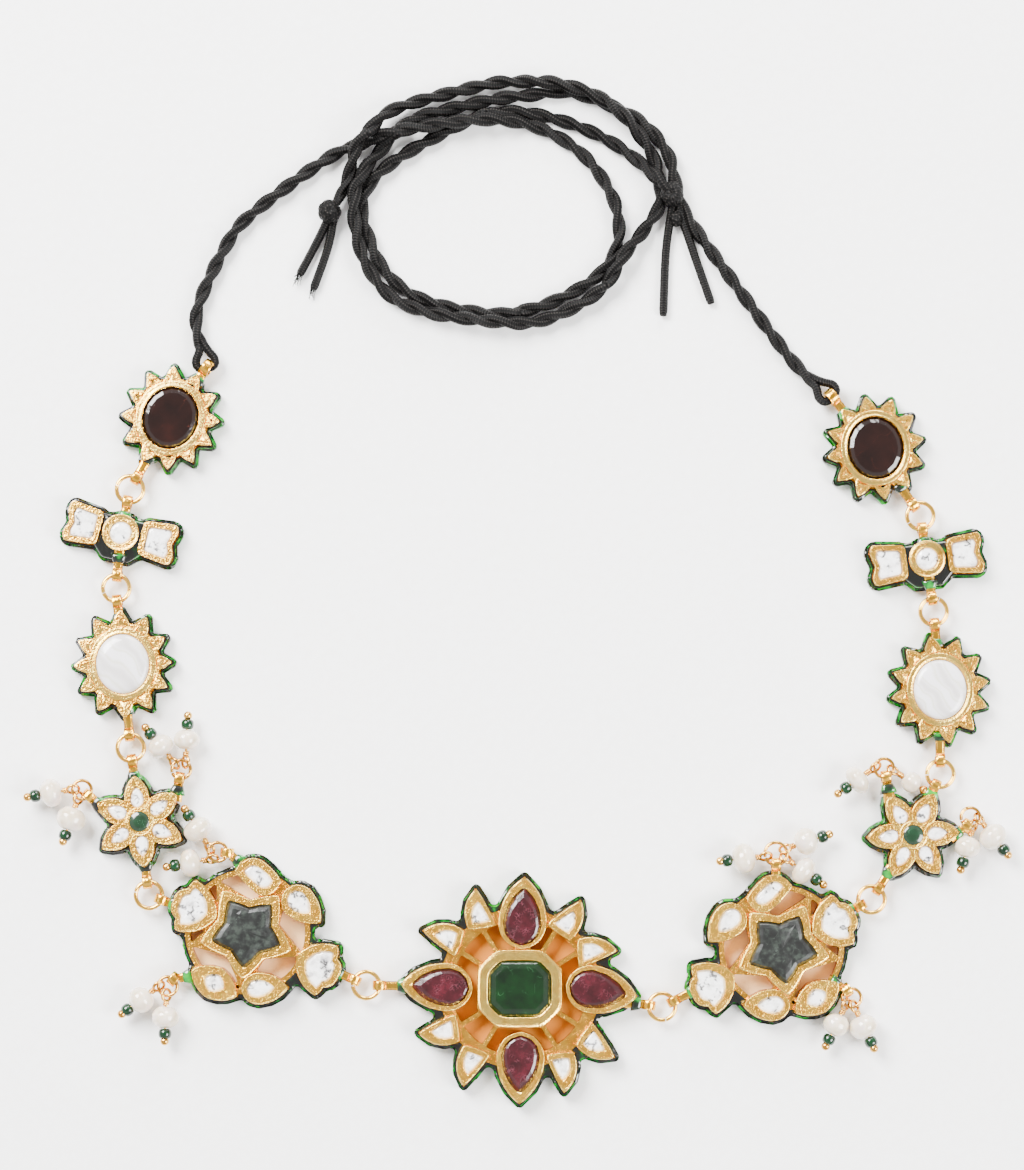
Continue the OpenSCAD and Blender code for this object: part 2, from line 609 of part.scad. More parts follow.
module star_stone(side) {
    tip = star_tip - star_tip_wall - 2 * CLEAR;
    points = star_points(side, tip, star_notch - star_notch_wall - CLEAR, 0.04);
    color([0.18, 0.22, 0.2]) translate(STARS[side]) stone(points, [0, 0], high_cut(high_station));
}
module star_polki(side) {
    color(WHITE) translate(STARS[side]) cell_stones(star_cells(side), flat_cut(high_station));
}

// Flowers
function flower_station_bails(side) = concat(
    [link_bail(FLOWERS[side], LINKS[side][3], 7.2), link_bail(FLOWERS[side], LINKS[side][2], 7.2)],
    [for (b = flower_bails[side]) pearl_bail(b, flower_drops[side])]
);
module flower_frame(side) {
    color(GOLD) translate(FLOWERS[side])
        station_metal(middle_station, off(flower_station_bails(side), FLOWERS[side]), []) {
            union() {
                cells(petal_cells(side));
                disc(flower_bezel + 1);
            }
            difference() {
                union() {
                    cells(petal_cells(side));
                    disc(flower_bezel + 0.2);
                }
                for (c = petal_cells(side)) polygon(cell_points(c, c[WALL]));
                disc(flower_stone + CLEAR);
            }
        }
}
module flower_enamel(side) {
    color(GREEN) translate(FLOWERS[side])
        station_enamel(middle_station, off(flower_station_bails(side), FLOWERS[side]), small_fill) union() {
            cells(petal_cells(side));
            disc(flower_bezel + 1);
        }
}
module flower_centre(side) {
    color([0.18, 0.42, 0.27]) translate(FLOWERS[side])
        stone(circle_points([0, 0], flower_stone - 0.02, 12), [0, 0], high_cut(middle_station));
}
module flower_polki(side) {
    color(WHITE) translate(FLOWERS[side]) cell_stones(petal_cells(side), flat_cut(middle_station));
}

// Suns
module sun_metal(sun, bails, cord_bails) {
    difference() {
        station_metal(middle_station, bails, cord_bails) {
            polygon(sun_points(sun));
            difference() {
                offset(delta = -0.05) polygon(sun_points(sun));
                polygon(
                    ellipse_points(sun[STONE_LONG] + CLEAR, sun[STONE_SHORT] + CLEAR, sun[LONG_AXIS], 24)
                );
            }
        }
        translate([0, 0, middle_station - ray_depth]) linear_extrude(2)
            for (k = [0 : RAYS - 1]) sunken_ray(sun, sun[RAY_ANGLE] + 360 * k / RAYS);
    }
}
module sunken_ray(sun, angle) {
    tip = sun_radius(sun, angle) - 1.9 * ray_border;
    foot = ellipse_radius(sun[STONE_LONG], sun[STONE_SHORT], angle - sun[LONG_AXIS]) + sun[BEZEL_WALL];
    half = foot * tan(180 / RAYS) - ray_border;
    if (tip - foot > 0.6)
        polygon([
            place(angle, tip), place(angle + atan(half / foot), foot), place(angle - atan(half / foot), foot)
        ]);
}
function pearl_sun_bails(side) = [
    link_bail(PEARL_SUNS[side], LINKS[side][2], 6.5), link_bail(PEARL_SUNS[side], LINKS[side][1], 6.5)
];
function garnet_sun_bails(side) = [link_bail(GARNET_SUNS[side], LINKS[side][0], 6.5)];
function garnet_cord_bails(side) = [cord_bail(GARNET_SUNS[side], CORD_EYES[side], 6.5)];
module sun_enamel(sun, bails) {
    color(GREEN) station_enamel(middle_station, bails, ray_fill) polygon(sun_points(sun));
}
module sun_stone(sun, rise) {
    points = ellipse_points(sun[STONE_LONG] - 0.02, sun[STONE_SHORT] - 0.02, sun[LONG_AXIS], 24);
    stone(points, [0, 0], dome(middle_station, rise));
}
module pearl_sun_frame(side) {
    color(GOLD) translate(PEARL_SUNS[side])
        sun_metal(pearl_sun[side], off(pearl_sun_bails(side), PEARL_SUNS[side]), []);
}
module pearl_sun_enamel(side) {
    translate(PEARL_SUNS[side]) sun_enamel(pearl_sun[side], off(pearl_sun_bails(side), PEARL_SUNS[side]));
}
module pearl_cabochon(side) {
    color(WHITE) translate(PEARL_SUNS[side]) sun_stone(pearl_sun[side], 1.5);
}
module garnet_sun_frame(side) {
    color(GOLD) translate(GARNET_SUNS[side])
        sun_metal(
            garnet_sun[side], off(garnet_sun_bails(side), GARNET_SUNS[side]),
            off(garnet_cord_bails(side), GARNET_SUNS[side])
        );
}
module garnet_sun_enamel(side) {
    bails = concat(garnet_sun_bails(side), garnet_cord_bails(side));
    translate(GARNET_SUNS[side]) sun_enamel(garnet_sun[side], off(bails, GARNET_SUNS[side]));
}
module garnet(side) {
    color([0.29, 0.08, 0.07]) translate(GARNET_SUNS[side]) sun_stone(garnet_sun[side], 1.2);
}

// Bows
function bow_bails(side) = [
    link_bail(BOWS[side], LINKS[side][1], 2.5), link_bail(BOWS[side], LINKS[side][0], 2.5)
];
module bow_plan(side) {
    offset(r = wing_round, $fn = 16) offset(delta = -wing_round) cells(wing_cells(side));
    disc(bow_bezel);
}
module bow_body(side) {
    bow_plan(side);
    rotate(BOW_TURN[side])
        polygon([[-4.6, -2.5], [-2.2, -bow_drop], [2.2, -bow_drop], [4.6, -2.5], [4.4, 2.6], [-4.4, 2.6]]);
}
module bow_frame(side) {
    color(GOLD) translate(BOWS[side])
        station_metal(low_station, off(bow_bails(side), BOWS[side]), []) {
            bow_body(side);
            difference() {
                bow_plan(side);
                for (c = wing_cells(side)) polygon(cell_points(c, c[WALL]));
                disc(bow_stone + CLEAR);
            }
        }
}
module bow_enamel(side) {
    color(GREEN) translate(BOWS[side])
        station_enamel(low_station, off(bow_bails(side), BOWS[side]), small_fill) bow_body(side);
}
module bow_polki(side) {
    color(WHITE) translate(BOWS[side]) {
        cell_stones(wing_cells(side), flat_cut(low_station));
        stone(circle_points([0, 0], bow_stone - 0.02, 12), [0, 0], high_cut(low_station));
    }
}

// Jump rings of the chain
module link_ring(side, k) {
    color(GOLD) translate([each LINKS[side][k], link_height]) rotate_extrude($fn = 64)
        translate([link_radius, 0]) circle(d = link_wire, $fn = 24);
}

// Pearl drops
function loop_place(drop) = drop[RING] + place(drop[LOOP_AT], drop[RING_RADIUS] - 0.1);
// A drop slopes up from its jump ring when its pearl is too thick to lie under it
function slope(drop) = asin(max(0, drop[PEARL] / 2 + CLEAR - drop_height) / pearl_reach);
module hung(drop) {
    translate([each loop_place(drop), drop_height]) rotate([0, -slope(drop), drop[HANGS_TO]]) children();
}
module pearls(drops) {
    for (d = drops)
        color(WHITE) hung(d) translate([pearl_reach, 0, 0]) rotate([0, 90, 0])
            rotate_extrude($fn = 48) difference() {
                polygon(ellipse_points(d[PEARL] / 2, d[THICK] / 2, 0, 32));
                translate([pearl_bore - 6, -3]) square([6, 6]);
            }
}
module drop_pin(drop) {
    hung(drop) {
        rotate([90, 0, 0]) rotate_extrude($fn = 48) translate([pin_loop, 0]) circle(d = loop_wire, $fn = 24);
        rotate([0, 90, 0]) {
            translate([0, 0, pin_loop]) cylinder(h = pearl_reach + drop[BALL_AT] - pin_loop, d = pin_wire, $fn = 24);
            translate([0, 0, pearl_reach + drop[BALL_AT]]) sphere(r = ball_radius, $fn = 32);
        }
    }
}
module drop_rings(list) {
    for (r = list)
        translate([each r[RING], drop_height]) rotate_extrude($fn = 48)
            translate([r[RING_RADIUS], 0]) circle(d = drop_ring_wire, $fn = 24);
}
module drop_pins(side) {
    star_rows = star_drops[side];
    flower_rows = flower_drops[side];
    color(GOLD) {
        for (d = star_rows) drop_pin(d);
        for (d = flower_rows) drop_pin(d);
        drop_rings([flower_rows[0], flower_rows[2], star_rows[0], star_rows[3]]);
    }
}

// The cord
function heading(route, i) = unit(route[min(i + 1, len(route) - 1)] - route[max(i - 1, 0)]);
function tube_ring(at, along, radius) =
    let (aside = unit([-along[1], along[0], 0]), above = cross(along, aside))
        [for (k = [0 : tube_sides - 1])
            at + radius * (cos(360 * (k + 0.5) / tube_sides) * aside + sin(360 * (k + 0.5) / tube_sides) * above)];
module tube(route, radii) {
    last = len(route) - 1;
    points = [for (i = [0 : last]) each tube_ring(route[i], heading(route, i), radii[min(i, len(radii) - 1)])];
    sides = [
        for (i = [0 : last - 1], k = [0 : tube_sides - 1])
            [
                i * tube_sides + k, (i + 1) * tube_sides + k,
                (i + 1) * tube_sides + (k + 1) % tube_sides, i * tube_sides + (k + 1) % tube_sides
            ]
    ];
    start = [for (k = [0 : tube_sides - 1]) k];
    end = [for (k = [tube_sides - 1 : -1 : 0]) last * tube_sides + k];
    thirds = [for (s = sides) each [[s[0], s[1], s[2]], [s[0], s[2], s[3]]]];
    polyhedron(points = points, faces = concat([start], [end], thirds), convexity = 8);
}
strand = strand_diameter / 2;
full = cord_diameter / 2;
module cord(route) {
    color(BLACK) tube(route, [strand, strand, (strand + full) / 2, full]);
}
module knot_left() {
    color(BLACK) {
        translate(knot_left_place) sphere(d = knot_left_diameter, $fn = 32);
        for (t = knot_left_tails) tube(t, [tail_diameter / 2]);
    }
}
module knot_right() {
    color(BLACK) {
        for (p = knot_right_places) translate(p) sphere(d = knot_right_diameter, $fn = 32);
        for (t = knot_right_tails) tube(t, [tail_diameter / 2]);
    }
}

medallion_frame();
medallion_enamel();
medallion_emerald();
medallion_rubies();
medallion_polki();
star_frame(LEFT);  // star_frame_left
star_enamel(LEFT);  // star_enamel_left
star_stone(LEFT);  // star_stone_left
star_polki(LEFT);  // star_polki_left
star_frame(RIGHT);  // star_frame_right
star_enamel(RIGHT);  // star_enamel_right
star_stone(RIGHT);  // star_stone_right
star_polki(RIGHT);  // star_polki_right
flower_frame(LEFT);  // flower_frame_left
flower_enamel(LEFT);  // flower_enamel_left
flower_centre(LEFT);  // flower_centre_left
flower_polki(LEFT);  // flower_polki_left
flower_frame(RIGHT);  // flower_frame_right
flower_enamel(RIGHT);  // flower_enamel_right
flower_centre(RIGHT);  // flower_centre_right
flower_polki(RIGHT);  // flower_polki_right
pearl_sun_frame(LEFT);  // pearl_sun_frame_left
pearl_sun_enamel(LEFT);  // pearl_sun_enamel_left
pearl_cabochon(LEFT);  // pearl_cabochon_left
pearl_sun_frame(RIGHT);  // pearl_sun_frame_right
pearl_sun_enamel(RIGHT);  // pearl_sun_enamel_right
pearl_cabochon(RIGHT);  // pearl_cabochon_right
bow_frame(LEFT);  // bow_frame_left
bow_enamel(LEFT);  // bow_enamel_left
bow_polki(LEFT);  // bow_polki_left
bow_frame(RIGHT);  // bow_frame_right
bow_enamel(RIGHT);  // bow_enamel_right
bow_polki(RIGHT);  // bow_polki_right
garnet_sun_frame(LEFT);  // garnet_sun_frame_left
garnet_sun_enamel(LEFT);  // garnet_sun_enamel_left
garnet(LEFT);  // garnet_left
garnet_sun_frame(RIGHT);  // garnet_sun_frame_right
garnet_sun_enamel(RIGHT);  // garnet_sun_enamel_right
garnet(RIGHT);  // garnet_right
link_ring(LEFT, 0);  // link_ring_left_1
link_ring(LEFT, 1);  // link_ring_left_2
link_ring(LEFT, 2);  // link_ring_left_3
link_ring(LEFT, 3);  // link_ring_left_4
link_ring(LEFT, 4);  // link_ring_left_5
link_ring(RIGHT, 0);  // link_ring_right_1
link_ring(RIGHT, 1);  // link_ring_right_2
link_ring(RIGHT, 2);  // link_ring_right_3
link_ring(RIGHT, 3);  // link_ring_right_4
link_ring(RIGHT, 4);  // link_ring_right_5
pearls(flower_drops[LEFT]);  // flower_pearls_left
pearls(flower_drops[RIGHT]);  // flower_pearls_right
pearls(star_drops[LEFT]);  // star_pearls_left
pearls(star_drops[RIGHT]);  // star_pearls_right
drop_pins(LEFT);  // drop_pins_left
drop_pins(RIGHT);  // drop_pins_right
cord(cord_left_route);  // cord_left
cord(cord_right_route);  // cord_right
knot_left();
knot_right();
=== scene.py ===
import math
import random

import bmesh
import bpy
from mathutils import Matrix, Vector


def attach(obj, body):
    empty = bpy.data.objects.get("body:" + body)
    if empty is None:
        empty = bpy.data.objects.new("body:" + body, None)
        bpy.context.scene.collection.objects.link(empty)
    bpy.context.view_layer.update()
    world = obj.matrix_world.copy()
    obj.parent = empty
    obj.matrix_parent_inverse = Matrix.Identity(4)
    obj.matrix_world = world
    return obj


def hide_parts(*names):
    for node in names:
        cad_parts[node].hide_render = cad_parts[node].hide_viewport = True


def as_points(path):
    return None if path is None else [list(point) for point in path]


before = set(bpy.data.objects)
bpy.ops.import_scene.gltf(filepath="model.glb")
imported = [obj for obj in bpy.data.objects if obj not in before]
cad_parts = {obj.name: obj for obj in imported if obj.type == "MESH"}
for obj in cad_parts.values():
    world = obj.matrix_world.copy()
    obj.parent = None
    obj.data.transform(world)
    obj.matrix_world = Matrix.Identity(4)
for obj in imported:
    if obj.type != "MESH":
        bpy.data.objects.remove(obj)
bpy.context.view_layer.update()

bl_info = {
    "name": "Kundan necklace",
    "version": (1, 0, 0),
    "blender": (4, 5, 0),
    "location": "3D View > Sidebar > Necklace",
    "description": "Dresses the packed frame of a kundan necklace with settings, stones, pearls and cord",
    "category": "Object",
}

MM = 0.001
SIDES = ("left", "right")

# Heights of the stations above the table, and how far the stones' pockets go down, in millimetres
HIGH = 4.2
MIDDLE = 3.6
LOW = 3.4
POCKET = 1.4
LINK_HEIGHT = 2.2
DROP_HEIGHT = 2.45

# How far the walls round the stones reach below their pockets, and the gap under a stone
WALL_SINK = 0.3
SEAT = 0.06

# Middle of each kind of station, left and right
STARS = ((-48.9, 10.2), (47.1, 7.3))
FLOWERS = ((-68.3, 30), (70.7, 27.6))
PEARL_SUNS = ((-71.3, 58.3), (75.5, 53.7))
BOWS = ((-71.7, 81.9), (73.2, 77.2))
GARNET_SUNS = ((-62.7, 102.5), (63.9, 97.1))
LINKS = (
    ((-70.1, 89.8), (-72.6, 72), (-70, 43.3), (-66.7, 16.8), (-27.6, 0.6)),
    ((72.1, 85), (74.5, 67.8), (75.7, 38.6), (63.3, 16), (25.6, -3.3)),
)
LINK_RADIUS = 2.4
LINK_WIRE = 0.8

# Outlines of the settings: share of the wall lost at the tip and at the back, then corners with the bulge
# of the side after each, in half lengths and half widths
PEAR = (2, 0.7, ((1, 0, 0.12), (-0.3, 1, 0.19), (-1, 0, 0.19), (-0.3, -1, 0.12)))
LEAF = (2.2, 2.2, ((1, 0, 0.12), (0, 1, 0.12), (-1, 0, 0.12), (0, -1, 0.12)))
TULIP = (
    0.9, 1.5,
    ((-1, 0, 0.16), (0.45, -1, 0.1), (0.6, -0.6, 0.2), (1, 0, 0.2), (0.6, 0.58, 0.1), (0.4, 1, 0.16)),
)
ROUND_TABLE = (
    1, 1,
    ((-1, -0.7, 0.04), (0.55, -1, 0.12), (1, -0.25, 0.08), (0.95, 0.7, 0.05), (-0.3, 1, 0.1), (-0.85, 0.5, 0.08)),
)
WING = (
    0.95, 0.9,
    ((-1, -0.8, 0), (0.88, -1, 0), (1, -0.55, 0), (0.77, 0.05, 0), (1, 0.6, 0), (0.88, 1, 0), (-1, 0.85, 0)),
)
WING_ROUND = 1.4
# Half leaves, left and right of a ruby: the straight side and the swollen one change places
HALF_LEAF_A = (2.4, 1, ((1, 0, 0.03), (-1, 1, 0.04), (-1, -1, 0.17)))
HALF_LEAF_B = (2.4, 1, ((1, 0, 0.17), (-1, 1, 0.04), (-1, -1, 0.03)))

# Settings: outline, length, width, angle and reach of the middle, direction of the tip, wall
RUBY_WALL = 0.85
LEAF_WALL = 0.8
STAR_WALL = 1.15
PETAL_WALL = 0.95
RUBIES = tuple(
    (PEAR, 13, 8.7, angle, reach, points_to, RUBY_WALL)
    for angle, reach, points_to in (
        (87.6, 13.6, 87.2), (178.4, 14.9, 176), (-1.4, 14.7, -9.5), (-89.6, 14.2, -91.3),
    )
)
HALF_LEAVES = tuple(
    ((HALF_LEAF_A, HALF_LEAF_B)[k % 2], 7, 5, angle, reach, points_to, LEAF_WALL)
    for k, (angle, reach, points_to) in enumerate((
        (146.7, 16.9, 161.5), (116.7, 16.2, 99.1), (55.3, 15.8, 55), (25.1, 15.5, 3),
        (-35.6, 17.6, -37.5), (-63.4, 17, -83.8), (-121.9, 16.8, -110), (-152.9, 16.5, -172.6),
    ))
)
STAR_CELLS = (
    (ROUND_TABLE, 7.9, 5.2, 78.6, 10.2, -38, STAR_WALL),
    (PEAR, 8.6, 6.1, 24.6, 11, -44, STAR_WALL),
    (TULIP, 8.4, 9.7, -26.3, 14, -26, STAR_WALL),
    (PEAR, 8.5, 5.7, -72.5, 10.6, 2, STAR_WALL),
    (LEAF, 9.5, 5.9, -122.9, 10.9, -31, STAR_WALL),
    (TULIP, 8.4, 9.7, 156.4, 10.2, 157, STAR_WALL),
)
STAR_TURN = 2
STAR_ANGLE = (48.8, 180 - 48.8 + STAR_TURN)
STAR_TIP = 8.7
STAR_NOTCH = 5.7
STAR_TIP_WALL = 2
STAR_NOTCH_WALL = 1.2
PETAL_ANGLE = (36.4, 3.5)
PETAL_REACH = 5.05
BOW_TURN = (-13.9, 7.4)
BOW_STONE = 2.1
BOW_BEZEL = 3.3
OCTAGON = (15.1, 13.9, 3.4, 1.8)

# Cuts: inset past the wall and height past the crest of the girdle, the shoulder and the table, how far the
# table's points are moved by chance, and how far in its facets start
RUBY_CUT = (((0.05, -0.6), (0.6, -0.12), (1.0, 0.04)), 0.1, 0.6)
LEAF_CUT = (((0.05, -0.8), (0.35, -0.5), (0.55, -0.42)), 0.05, 0.25)
EMERALD_CUT = (((0.05, -0.5), (0.7, 0.05), (1.5, 0.25)), 0.06, 1.2)
STAR_POLKI_CUT = (((0.05, -0.8), (0.4, -0.5), (0.65, -0.42)), 0.06, 0.3)
STAR_STONE_CUT = (((0.02, -0.55), (0.55, -0.1), (1.1, 0.06)), 0.1, 0.8)
PETAL_CUT = (((-0.05, -0.7), (0.2, -0.4), (0.4, -0.3)), 0.05, 0.2)
WING_CUT = (((0.05, -0.8), (0.35, -0.5), (0.7, -0.42)), 0.06, 0.25)
BOW_EYE_CUT = (((0.02, -0.55), (0.4, -0.25), (0.8, -0.12)), 0.05, 0.4)
GARNET_CUT = (((0, -0.4), (0.42, 0.12), (1.05, 0.38)), 0.05, 0.5)

# Suns: ray angle, long and short half axis of the tips, direction of the long axis, half axes of the stone
GARNET_SUN = ((-3.5, 9.3, 8.7, 70, 5.6, 5), (11, 9.3, 8.7, 101, 5.6, 5))
PEARL_SUN = ((2.5, 9.7, 8.7, 94.5, 5.4, 4.8), (10, 9.7, 8.7, 95, 5.4, 4.8))
RAYS = 12
NOTCH_SHARE = 0.77
VALLEY = 3.5

# How far from its middle each kind of station ends under a bail: the bail's green root
MEDALLION_EDGE = 21.5
STAR_EDGE = (18.3, 14.6)
FLOWER_EDGE = 8.6
SUN_EDGE = 8.7
BOW_EDGE = (4.9, 3.5)

# Bails: middle of the hole, direction away from the station, length of the strap, drop ring that it holds
FLOWER_BAILS = (
    (((-61.18, 37.71), 80, 3.8, 0), ((-77.42, 34.62), 140, 3.4, 2)),
    (((65.87, 37.96), 100, 4.2, 0), ((80.37, 29.26), 35, 3.4, 2)),
)
STAR_BAILS = (
    (((-52.6, 24.4), 145, 3.4, 0), ((-62.2, 1.7), 190, 4, 2)),
    (((46.1, 22.25), 90, 2.2, 0), ((58.8, -0.3), -28, 3.6, 3)),
)
CORD_EYES = ((-56.3, 111.6), (56.2, 106.4))

# Drops: middle and radius of the jump ring, angle of the pin's loop on it, direction of the pin, diameter of
# the pearl, its thickness along the pin, and reach of the pin's ball, which is short where no seed bead is threaded
BALL = 4.3
BARE_BALL = 2.55
FLOWER_DROPS = (
    (
        ((-60.89, 39.39), 1.7, 138, 129, 4.7, 4, BALL),
        ((-60.89, 39.39), 1.7, 60, 87, 4.7, 3.8, BALL),
        ((-78.72, 35.71), 1.7, -185, -170, 5, 4.1, BALL),
        ((-78.72, 35.71), 1.7, -114, -109, 5.3, 4.5, BALL),
    ),
    (
        ((65.57, 39.64), 1.7, 175, -145, 5.4, 3.4, BALL),
        ((65.57, 39.64), 1.7, -12, -33, 3.8, 3.6, BARE_BALL),
        ((81.09, 30.8), 1.7, -70, -106, 4.7, 4.1, BALL),
        ((81.09, 30.8), 1.7, -10, -52, 5.1, 4.5, BALL),
    ),
)
STAR_DROPS = (
    (
        ((-54.3, 24.55), 1.7, -128, -170, 5.2, 3.9, BALL),
        ((-54.3, 24.55), 1.7, 155, 122, 5.2, 4.2, BALL),
        ((-63.3, 0.4), 1.7, -180, -143, 4.9, 4.4, BALL),
        ((-63.3, 0.4), 1.7, -98, -92, 5.2, 4.2, BALL),
    ),
    (
        ((46.1, 24.25), 2, -165, -174, 5.4, 4.4, BALL),
        ((46.1, 24.25), 2, 28, 18, 5.1, 4.4, BALL),
        ((46.1, 24.25), 2, -25, -35, 5.1, 3.8, BALL),
        ((59.7, -1.7), 1.7, -130, -116, 4.8, 4.2, BALL),
        ((59.7, -1.7), 1.7, -72, -65, 5.2, 4.4, BALL),
    ),
)
PEARL_REACH = 4
PIN_LOOP = 1.05

# The cord's routes on the table, from the bend below each cord bail to the knot in which that end stops
CORD_LEFT = (
    (-58.2, 121.7, 1.3),
    (-52.8, 134, 1.3), (-47.8, 139.9, 1.3), (-34.5, 149.6, 1.3), (-28, 152.3, 1.2), (-23.5, 153.7, 3.5),
    (-17.2, 154.8, 3.4), (-12.2, 155.6, 3.5), (-6, 156.1, 3.3), (0.3, 155.8, 1.9), (6, 153.9, 1.3),
    (11.4, 150.2, 1.3), (15.6, 144.8, 1.3), (17.7, 139.4, 1.3), (17.5, 133.4, 1.3), (14.3, 128.6, 1.3),
    (8.7, 125, 1.3), (2.8, 122.6, 1.3), (-3.5, 121.5, 1.2), (-9.3, 122.1, 1.2), (-15, 123.3, 1.3),
    (-20.6, 125.7, 1.3), (-24.9, 130.2, 1.3), (-27.3, 135.6, 1.3), (-28.4, 140.8, 1.2), (-26.6, 145.5, 1.2),
    (-22.2, 149.3, 1.3), (-17.2, 152.3, 1.3), (-12.2, 154.9, 1.2), (-7.1, 157.2, 1.2), (-0.3, 157.9, 1.3),
    (7.6, 156.3, 1.3), (15.6, 153, 1.3), (21.7, 148.7, 1.8), (24.6, 145.5, 3.6), (26.5, 143.5, 3.5),
)
CORD_RIGHT = (
    (49.2, 113, 1.3),
    (38.8, 126.9, 1.3), (30.1, 139.2, 1.5), (28.2, 144.4, 2), (26.7, 150.3, 1.4), (22.2, 155.9, 1.3),
    (15.4, 159.5, 1.3), (8.4, 161.5, 1.3), (1.9, 160.9, 1.3), (-4.8, 160.1, 1.3), (-17.9, 157, 1.2),
    (-21.9, 154.4, 1.1), (-25.3, 150.7, 1.2), (-28.2, 146.7, 2.6), (-29.8, 142.2, 3.2), (-29.4, 136.1, 2.8),
    (-27.5, 130, 2.5), (-23.1, 124.4, 2.4), (-16.8, 121.7, 2.4), (-10.4, 120.5, 3), (-3.9, 119.8, 3),
    (2.6, 119.9, 2), (9.3, 122.3, 2), (15.2, 126.2, 2.3), (18.8, 131.8, 3), (22.2, 136.3, 1.6),
    (25.1, 140.8, 1.3), (25.3, 145.1, 1.2), (24.2, 149.4, 1.3), (21.9, 153, 2.4), (18.4, 157, 3.6),
    (14.1, 160.2, 3.5), (9.4, 162, 3.5), (4.8, 162.9, 3.3), (-0.3, 163.3, 1.5), (-6.2, 162.8, 1.3),
    (-21.5, 158.6, 2.2), (-26.4, 154.7, 4), (-29.3, 151.1, 3.8), (-30.9, 145.8, 1.8), (-33, 141.3, 2.1),
)
ROUTES = (CORD_LEFT, CORD_RIGHT)

# A strand's bend round its bail: along the way out, and aside
LOOP_BEND = ((0, 0), (0.05, 1.0), (0.6, 1.66), (1.6, 1.68), (2.6, 1.1), (3.6, 0.6))
TWIST_STARTS = 4.4
STRAND_REACH = 0.66
TAIL_RADIUS = 0.76
KNOT_LEFT = (-34.2, 139.8, 2.25)
TAILS_LEFT = (
    ((-34.5, 138.6, 1.5), (-36.6, 134.4, 0.85), (-39.7, 128.6, 0.82)),
    ((-33.5, 138.6, 1.5), (-34.6, 133.4, 0.85), (-37.2, 126, 0.82)),
)
KNOT_RIGHT = ((27.4, 142.9, 2.25), (28.1, 138.6, 1.6))
TAILS_RIGHT = (
    ((27.5, 140.8, 1.6), (26.4, 133, 0.85), (25.9, 121.2, 0.82)),
    ((28.5, 140.8, 1.6), (31.4, 132.5, 0.85), (34.6, 123.4, 0.82)),
)

# The view: its middle in millimetres, the photograph's height in pixels, and its scale
VIEW_CENTRE = (-1.37, 72.6, 2)
PHOTO_HEIGHT = 1170
MM_PER_PIXEL = 0.18
SENSOR = 36

# Lights in metres: place, size and power; and the sky's brightness from the horizon to straight above
LIGHTS = (
    ("key", (-0.5, 0.55, 0.7), 0.5, 40),
    ("fill", (0.65, -0.2, 0.6), 0.45, 18),
    ("rim", (0.15, 0.85, 0.35), 0.35, 10),
)
SKY_ENDS = (0.16, 0.34)
SKY = ((0.25, 0.3), (0.6, 0.72), (0.85, 0.66), (0.93, 0.4))
SKY_STRENGTH = 2


def linear(code, alpha=1):
    """A linear RGBA colour from an sRGB hex value."""
    parts = [int(code[i : i + 2], 16) / 255 for i in (1, 3, 5)]
    return tuple(c / 12.92 if c <= 0.04045 else ((c + 0.055) / 1.055) ** 2.4 for c in parts) + (alpha,)


# Flat geometry in millimetres


def place(angle, reach, middle=(0, 0)):
    return (
        middle[0] + reach * math.cos(math.radians(angle)),
        middle[1] + reach * math.sin(math.radians(angle)),
    )


def turned(point, angle):
    c, s = math.cos(math.radians(angle)), math.sin(math.radians(angle))
    return point[0] * c - point[1] * s, point[0] * s + point[1] * c


def moved(points, middle):
    return [(x + middle[0], y + middle[1]) for x, y in points]


def bearing(a, b):
    return math.degrees(math.atan2(b[1] - a[1], b[0] - a[0]))


def rounded_sides(corners, steps):
    """Points along an outline whose sides bulge outwards by a share of their length."""
    points = []
    for k, (ax, ay, bulge) in enumerate(corners):
        bx, by = corners[(k + 1) % len(corners)][:2]
        for i in range(steps):
            t = i / steps
            swell = 4 * t * (1 - t) * bulge
            points.append((ax + (bx - ax) * t + (by - ay) * swell, ay + (by - ay) * t - (bx - ax) * swell))
    return points


def mirrored(shape):
    tip, back, corners = shape
    flipped = [(corners[k][0], -corners[k][1], corners[k - 1][2]) for k in range(len(corners) - 1, -1, -1)]
    return tip, back, flipped


def filleted(corners, radius, steps):
    """An outline with rounded corners, with as many points at every radius."""
    points = []
    for k, corner in enumerate(corners):
        corner = Vector(corner)
        before = Vector(corners[k - 1]) - corner
        after = Vector(corners[(k + 1) % len(corners)]) - corner
        cut = min(radius / math.tan(before.angle(after) / 2), before.length * 0.45, after.length * 0.45)
        start, end = corner + before.normalized() * cut, corner + after.normalized() * cut
        for i in range(steps):
            t = i / (steps - 1)
            points.append(tuple(start * (1 - t) ** 2 + corner * 2 * t * (1 - t) + end * t * t))
    return points


def cell_points(cell, inset, steps=8):
    """A setting's outline, the given distance inside its outer edge."""
    (tip, back, corners), long, wide, angle, reach, points_to, _ = cell
    half = (long - inset * (tip + back)) / 2
    across = wide / 2 - inset
    shift = -inset * (tip - back) / 2
    sized = [(x * half + shift, y * across, bulge) for x, y, bulge in corners]
    if cell[0] is WING:
        local = filleted([c[:2] for c in sized], max(0.5, WING_ROUND - inset * 0.6), steps)
    else:
        local = rounded_sides(sized, steps)
    return moved([turned(p, points_to) for p in local], place(angle, reach))


def star_cells(side):
    if side == 0:
        return STAR_CELLS
    return [
        (mirrored(shape), long, wide, 180 - angle + STAR_TURN, reach, 180 - points_to + STAR_TURN, wall)
        for shape, long, wide, angle, reach, points_to, wall in STAR_CELLS
    ]


def petal_cells(side):
    turn = PETAL_ANGLE[side]
    return [(PEAR, 6.5, 4.5, turn + 60 * k, PETAL_REACH, turn + 60 * k, PETAL_WALL) for k in range(6)]


